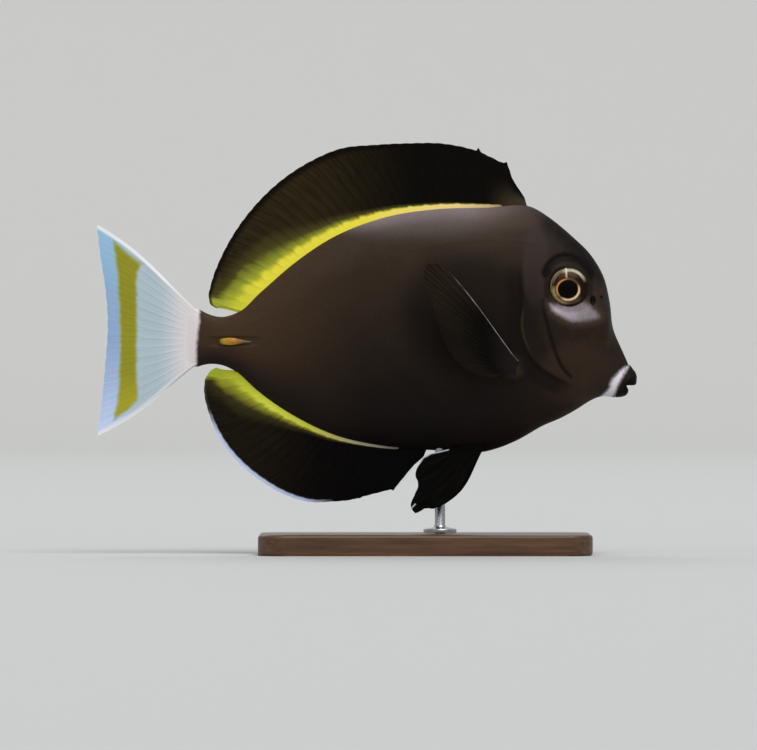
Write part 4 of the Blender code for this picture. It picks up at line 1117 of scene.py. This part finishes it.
eyeLook = {
    "pupil": "#020202", "iris": "#1b1109", "skinward": "#1b170e",
    "pupilOff": (-0.40, -0.72), "pupilHalf": (2.38, 2.18),
    # gold ring round the pupil, dim above; the way each brighter side faces, how near that way it starts and
    # is full, its colour: orange behind, bright below and in front
    "ring": "#543f2b", "ringRim": "#43200c", "ringOff": (-0.36, -0.80), "ringHalf": (3.08, 2.86),
    "ringSides": [((-0.93, 0.37), (0.2, 0.9), "#ca8d4a"), ((0.58, -0.81), (0.05, 0.7), "#eac994")],
    # soft marks in the iris: colour, middle and half-width of the ring it lies on, the way it faces, how
    # near that way it starts and is full, strength
    "marks": [("#553b22", 3.15, 0.85, (-0.10, 1.0), (0.45, 0.95), 0.75),
              ("#544b43", 3.75, 0.75, (0.05, -1.0), (0.60, 0.95), 0.85),
              ("#b59a76", 3.70, 1.00, (-0.74, -0.67), (0.62, 0.97), 0.95),
              ("#8d8260", 4.40, 0.27, (-1.0, 0.05), (0.10, 0.75), 0.68),
              ("#796e5e", 4.05, 0.55, (-0.55, 0.84), (0.55, 0.95), 0.65),
              ("#b9b398", 4.02, 0.64, (0.36, 0.93), (0.55, 0.99), 1.0)],
    "glint": ("#dbd6c8", "#c79a57"), "glintX": -0.70, "glintStrength": 0.8,
}


def wetEye():
    # A living eye: dark pigment with metallic flecks, laid in rings, under a clear wet cornea.
    look = eyeLook
    made, tree, shader = newMaterial("wetEye")
    inEye = add(tree, "Attribute", attribute_name="inEye", out="Vector")
    x, y, _ = add(tree, "SeparateXYZ", inEye).node.outputs
    flat = add(tree, "CombineXYZ", x, y)
    flecks = add(tree, "TexNoise", {"Vector": flat, "Scale": 1.6, "Detail": 5.0, "Roughness": 0.65})
    uneven = add(tree, "MapRange", flecks, 0.3, 0.7, -0.06, 0.06)

    def share(middle, half):
        # distance from a point, as a share of the half-widths
        shape = add(tree, "Mapping", {"Vector": flat, "Scale": (1 / half[0], 1 / half[1], 1),
                                      "Location": (-middle[0] / half[0], -middle[1] / half[1], 0)})
        away = add(tree, "VectorMath", shape, operation="LENGTH", out="Value")
        return add(tree, "Math", uneven, 0.35, away, operation="MULTIPLY_ADD")

    def towards(way, limits, middle=(0, 0)):
        # 1 on the side that faces a direction
        side = add(tree, "VectorMath", flat, (*middle, 0), operation="SUBTRACT")
        side = add(tree, "VectorMath", side, operation="NORMALIZE")
        side = add(tree, "VectorMath", side, tuple(unit((*way, 0))), operation="DOT_PRODUCT", out="Value")
        return add(tree, "MapRange", side, *limits, interpolation_type="SMOOTHSTEP")

    fromMiddle = add(tree, "VectorMath", flat, operation="LENGTH", out="Value")
    turn = add(tree, "Math", y, x, operation="ARCTAN2")
    rays = add(tree, "CombineXYZ", turn, fromMiddle)
    rays = add(tree, "Mapping", {"Vector": rays, "Scale": (7.0, 0.8, 1.0)})
    fibres = add(tree, "TexNoise", {"Vector": rays, "Scale": 1.0, "Detail": 3.0}, noise_dimensions="2D")
    colour = laid(tree, look["iris"], look["skinward"], fromMiddle, 4.2, 4.8)
    for shade, middle, half, way, limits, strength in look["marks"]:
        away = add(tree, "Math", fromMiddle, middle, operation="SUBTRACT")
        away = add(tree, "Math", add(tree, "Math", away, operation="ABSOLUTE"), uneven, operation="ADD")
        onRing = add(tree, "MapRange", away, half, half * 0.15, interpolation_type="SMOOTHSTEP")
        facing = add(tree, "Math", towards(way, limits), strength, operation="MULTIPLY")
        colour = add(tree, "MixRGB", add(tree, "Math", onRing, facing, operation="MULTIPLY"), colour, shade)
    fibre = add(tree, "MapRange", fibres, 0.3, 0.7, 0.8, 1.15)
    colour = add(tree, "MixRGB", 1.0, colour, fibre, blend_type="MULTIPLY")
    # gold ring
    gold = look["ring"]
    for way, limits, shade in look["ringSides"]:
        gold = add(tree, "MixRGB", towards(way, limits, look["pupilOff"]), gold, shade)
    ring, pupil = share(look["ringOff"], look["ringHalf"]), share(look["pupilOff"], look["pupilHalf"])
    gold = laid(tree, gold, look["ringRim"], ring, 0.88, 1.0)
    colour = laid(tree, colour, gold, ring, 1.1, 0.97)
    colour = laid(tree, colour, look["pupil"], pupil, 1.1, 0.98)
    # a painted highlight at the top, a bright spot that turns gold where it meets the ring
    aside = add(tree, "Math", x, look["glintX"], operation="SUBTRACT")
    aside = add(tree, "Math", aside, operation="ABSOLUTE")
    glintMask = look["glintStrength"]
    for value, low, high in ((aside, 0.36, 0.08), (y, 1.85, 2.3), (fromMiddle, 4.75, 4.4)):
        there = add(tree, "MapRange", value, low, high, interpolation_type="SMOOTHSTEP")
        glintMask = add(tree, "Math", there, glintMask, operation="MULTIPLY")
    glint = laid(tree, look["glint"][1], look["glint"][0], y, 2.7, 3.3)
    colour = add(tree, "MixRGB", glintMask, colour, glint)
    relief = add(tree, "Bump", {"Height": fibres, "Strength": 0.4, "Distance": 0.00008})
    plug(tree, shader, {"Base Color": colour, "Normal": relief, "Roughness": 0.5, "Specular IOR Level": 0.03,
                        "Coat Weight": 0.14, "Coat Roughness": 0.04, "Coat IOR": 1.34})
    return made


# tail spines

tailSpine = {"root": (-35.4, 51.3), "length": 7.6, "height": 1.7, "thickness": 1.0, "flare": 9.0, "seat": 0.1,
             "droop": 0.1, "rings": 26, "around": 20,
             # share of the length, share of the full height and thickness
             "profile": [(0, 0.35), (0.04, 0.7), (0.12, 0.92), (0.3, 1.05), (0.45, 1.02), (0.6, 0.76),
                         (0.72, 0.5), (0.86, 0.3), (0.97, 0.13), (1, 0.04)]}


def makeTailSpines():
    plan = tailSpine
    finish = spineHorn()
    rootX, rootZ = plan["root"]
    flank = float(bodySide(np.array([rootX]), np.array([rootZ]))[0]) + plan["seat"]
    lean = math.tan(math.radians(plan["flare"]))
    for side, word, tag in bothSides:
        piece = extrudedTube("tailSpine" + tag, plan["around"], plan["rings"])
        tube = placesOf(piece)
        share = tube[:, 0] / plan["rings"]
        size = np.interp(share, *zip(*plan["profile"]))
        x = rootX + plan["length"] * share
        rise = plan["height"] / 2 * size * np.sign(tube[:, 2]) * np.abs(tube[:, 2]) ** 1.15
        out = lean * plan["length"] * share + plan["thickness"] / 2 * size * tube[:, 1] * side
        moveTo(piece, np.stack([x, side * (flank + out), rootZ - plan["droop"] * share + rise], axis=1) * mm)
        keep(piece, "toTip", share)
        edit(piece)
        bpy.ops.mesh.fill_holes(sides=0)
        mergeAndTurnOut(piece)
        settle(piece, finish, "tail_spines", "tail_spine_" + word)
    print("tail spines")


def spineHorn():
    # Horny enamel over bone: warm orange with a pale tip and a smooth low gloss.
    made, tree, shader = newMaterial("spineHorn")
    colour = add(tree, "ValToRGB", add(tree, "Attribute", attribute_name="toTip", out="Fac"),
                 stops=[(0.0, "#7d6e28"), (0.14, "#b58a26"), (0.4, "#bf862a"), (0.58, "#96682a"),
                        (0.78, "#6f5b38"), (1.0, "#7a6a4c")])
    spot = add(tree, "TexCoord", out="Object")
    cloud = add(tree, "TexNoise", {"Vector": spot, "Scale": 900.0, "Detail": 3.0})
    tint = add(tree, "MapRange", cloud, 0.3, 0.7, 0.72, 1.15)
    colour = add(tree, "MixRGB", 1.0, colour, tint, blend_type="MULTIPLY")
    plug(tree, shader, {"Base Color": colour, "Roughness": 0.45, "Specular IOR Level": 0.3})
    return made


# stand

stand = {"size": (80.0, 44.0, 5.0), "middleX": 14.0,
         "corner": 6.0, "cornerSteps": 14, "edge": 0.8, "edgeSteps": 5,
         "rodX": 17.6, "rodRadius": 1.25, "socket": 3.0, "inBody": 5.0,
         "collarRadius": 4.0, "collarHeight": 1.2, "around": 64}


def bevelEdges(piece, reach, segments, chosen):
    # rounds the edges whose two heights pass a test, and with them what the rounding before left selected
    bpy.ops.object.mode_set(mode="OBJECT")
    for edge in piece.data.edges:
        edge.select = chosen(*(piece.data.vertices[k].co.z for k in edge.vertices))
    bpy.ops.object.mode_set(mode="EDIT")
    bpy.ops.mesh.bevel(offset=reach * mm, segments=segments, affect="EDGES")


def makeStand():
    length, width, height = (size * mm for size in stand["size"])
    selectNone()
    bpy.ops.mesh.primitive_cube_add(size=1.0, location=(stand["middleX"] * mm, 0, height / 2),
                                    scale=(length, width, height))
    base = active("standBase")
    bpy.ops.object.transform_apply(location=True, scale=True)
    edit(base, "EDGE", "DESELECT")
    bevelEdges(base, stand["corner"], stand["cornerSteps"], lambda low, high: abs(low - high) > height / 2)
    bevelEdges(base, stand["edge"], stand["edgeSteps"], lambda low, high: min(low, high) > 0.99 * height)
    bpy.ops.mesh.select_mode(type="VERT")
    settle(base, oiledWalnut(), "stand_wood", "stand_base", angle=35)
    settle(turnedPiece("standRod"), brushedSteel(), "stand_steel", "stand_rod", angle=35)
    print("stand")


def turnedPiece(name):
    # the rod and its collar, one profile carried round by extruding a circle up through it
    foot = stand["size"][2] + seam
    top = float(bellyAt(stand["rodX"])) + stand["inBody"] - seam
    radius, collar, rise = stand["rodRadius"], stand["collarRadius"], stand["collarHeight"]
    profile = [(radius, foot - stand["socket"]), (radius, foot), (collar - 0.12, foot), (collar, foot + 0.12),
               (collar, foot + rise * 0.55), (collar - 0.15, foot + rise * 0.72), (radius + 0.9, foot + rise),
               (radius + 0.3, foot + rise + 0.15), (radius, foot + rise + 0.6), (radius, top - 0.2),
               (radius - 0.2, top)]
    selectNone()
    bpy.ops.mesh.primitive_circle_add(vertices=stand["around"], radius=profile[0][0] * mm, fill_type="NGON",
                                      location=(stand["rodX"] * mm, 0, profile[0][1] * mm))
    piece = active(name)
    bpy.ops.object.transform_apply(location=True)
    edit(piece)
    for (before, low), (after, high) in zip(profile, profile[1:]):
        bpy.ops.mesh.extrude_region_move(TRANSFORM_OT_translate={"value": (0, 0, (high - low) * mm)})
        share = after / before
        bpy.ops.transform.resize(value=(share, share, 1), center_override=(stand["rodX"] * mm, 0, high * mm))
    mergeAndTurnOut(piece)
    return piece


def oiledWalnut():
    # Walnut, planed and oiled: long dark grain lines in mid brown, with a soft satin gloss.
    made, tree, shader = newMaterial("oiledWalnut")
    spot = add(tree, "TexCoord", out="Object")
    grainwise = add(tree, "Mapping", {"Vector": spot, "Scale": (60.0, 900.0, 900.0)})
    grain = add(tree, "TexNoise", {"Vector": grainwise, "Scale": 1.0, "Detail": 6.0, "Roughness": 0.65})
    colour = add(tree, "ValToRGB", grain, stops=[(0.25, "#342013"), (0.5, "#543722"), (0.75, "#6a492a")])
    bump = add(tree, "Bump", {"Height": grain, "Strength": 0.25, "Distance": 0.0001})
    plug(tree, shader, {"Base Color": colour, "Normal": bump, "Roughness": 0.38})
    return made


def brushedSteel():
    # Stainless steel, turned and brushed round: fine rings that draw the highlight out along the rod.
    made, tree, shader = newMaterial("brushedSteel")
    spot = add(tree, "TexCoord", out="Object")
    rings = add(tree, "Mapping", {"Vector": spot, "Scale": (20.0, 20.0, 9000.0)})
    brush = add(tree, "TexNoise", {"Vector": rings, "Scale": 1.0, "Detail": 3.0})
    shine = add(tree, "MapRange", brush, 0.3, 0.7, 0.22, 0.38)
    bump = add(tree, "Bump", {"Height": brush, "Strength": 0.15, "Distance": 0.00003})
    plug(tree, shader, {"Base Color": "#b1b2b4", "Metallic": 1.0, "Roughness": shine, "Normal": bump})
    return made


# studio and camera

studio = {"floor": "#bdbebd", "world": "#eaf0f6", "worldStrength": 0.61, "flat": 3.0, "dish": 4.2, "rim": 1.6,
          "steps": 18, "around": 128,
          # broad soft lights, far enough away to be even over the whole floor: place, spread, power, colour
          "lights": {"keyLight": ((0.30, -0.70, 1.15), 38, 1.89, "#fffaf2"),
                     "fillLight": ((-1.0, -0.8, 0.45), 50, 0.37, "#eef4ff"),
                     "backLight": ((-0.3, 1.0, 1.0), 40, 0.67, "#f4f7ff")}}


def makeStudio():
    # a pale floor that turns up into a low wall all round, so that no horizon shows
    selectNone()
    bpy.ops.mesh.primitive_circle_add(vertices=studio["around"], radius=studio["flat"], fill_type="NGON")
    floor = active("studioFloor")
    edit(floor, "EDGE", "DESELECT")
    bpy.ops.mesh.select_non_manifold()
    radius, height = studio["flat"], 0.0
    for k in range(studio["steps"]):
        turn = math.pi / 2 * (k + 1) / studio["steps"]
        reach = studio["flat"] + (studio["dish"] - studio["flat"]) * math.sin(turn)
        lift = studio["rim"] * (1 - math.cos(turn))
        bpy.ops.mesh.extrude_edges_move(TRANSFORM_OT_translate={"value": (0, 0, lift - height)})
        bpy.ops.transform.resize(value=(reach / radius, reach / radius, 1), center_override=(0, 0, 0))
        radius, height = reach, lift
    bpy.ops.mesh.select_mode(type="VERT")
    bpy.ops.object.mode_set(mode="OBJECT")
    bpy.ops.object.shade_smooth_by_angle(angle=math.radians(40))
    floor.data.materials.append(paintedFloor())

    world = bpy.data.worlds.new("softSky")
    bpy.context.scene.world = world
    world.use_nodes = True
    plug(world.node_tree, world.node_tree.nodes["Background"],
         {"Color": studio["world"], "Strength": studio["worldStrength"]})
    for name, (place, spread, power, shade) in studio["lights"].items():
        lamp = bpy.data.lights.new(name, "SUN")
        lamp.angle, lamp.energy, lamp.color = math.radians(spread), power, linear(shade)[:3]
        made = bpy.data.objects.new(name, lamp)
        bpy.context.scene.collection.objects.link(made)
        made.location = place
        made.rotation_euler = (-Vector(place)).to_track_quat("-Z", "Y").to_euler()


def paintedFloor():
    # Matt emulsion paint, rolled: an even pale surface with a very fine stipple.
    made, tree, shader = newMaterial("mattPaint")
    spot = add(tree, "TexCoord", out="Object")
    stipple = add(tree, "TexNoise", {"Vector": spot, "Scale": 900.0, "Detail": 2.0})
    bump = add(tree, "Bump", {"Height": stipple, "Strength": 0.05, "Distance": 0.0001})
    plug(tree, shader, {"Base Color": studio["floor"], "Normal": bump, "Roughness": 0.85})
    return made


camera = {"look": (2.8, 0.0, 43.2), "distance": 2200.0, "frameWidth": 182.2, "sensor": 36.0, "clip": (0.05, 20)}


def makeCamera():
    lens = bpy.data.cameras.new("portraitCamera")
    lens.sensor_width = camera["sensor"]
    lens.lens = camera["sensor"] * camera["distance"] / camera["frameWidth"]
    lens.clip_start, lens.clip_end = camera["clip"]
    made = bpy.data.objects.new("portraitCamera", lens)
    bpy.context.scene.collection.objects.link(made)
    x, y, z = camera["look"]
    made.location = (x * mm, (y - camera["distance"]) * mm, z * mm)
    made.rotation_euler = (math.pi / 2, 0, 0)
    bpy.context.scene.camera = made
    bpy.context.scene.view_settings.view_transform = "Standard"


makeCamera()
makeStudio()
makeSkin()
makeFins()
makeEyes()
makeTailSpines()
makeStand()
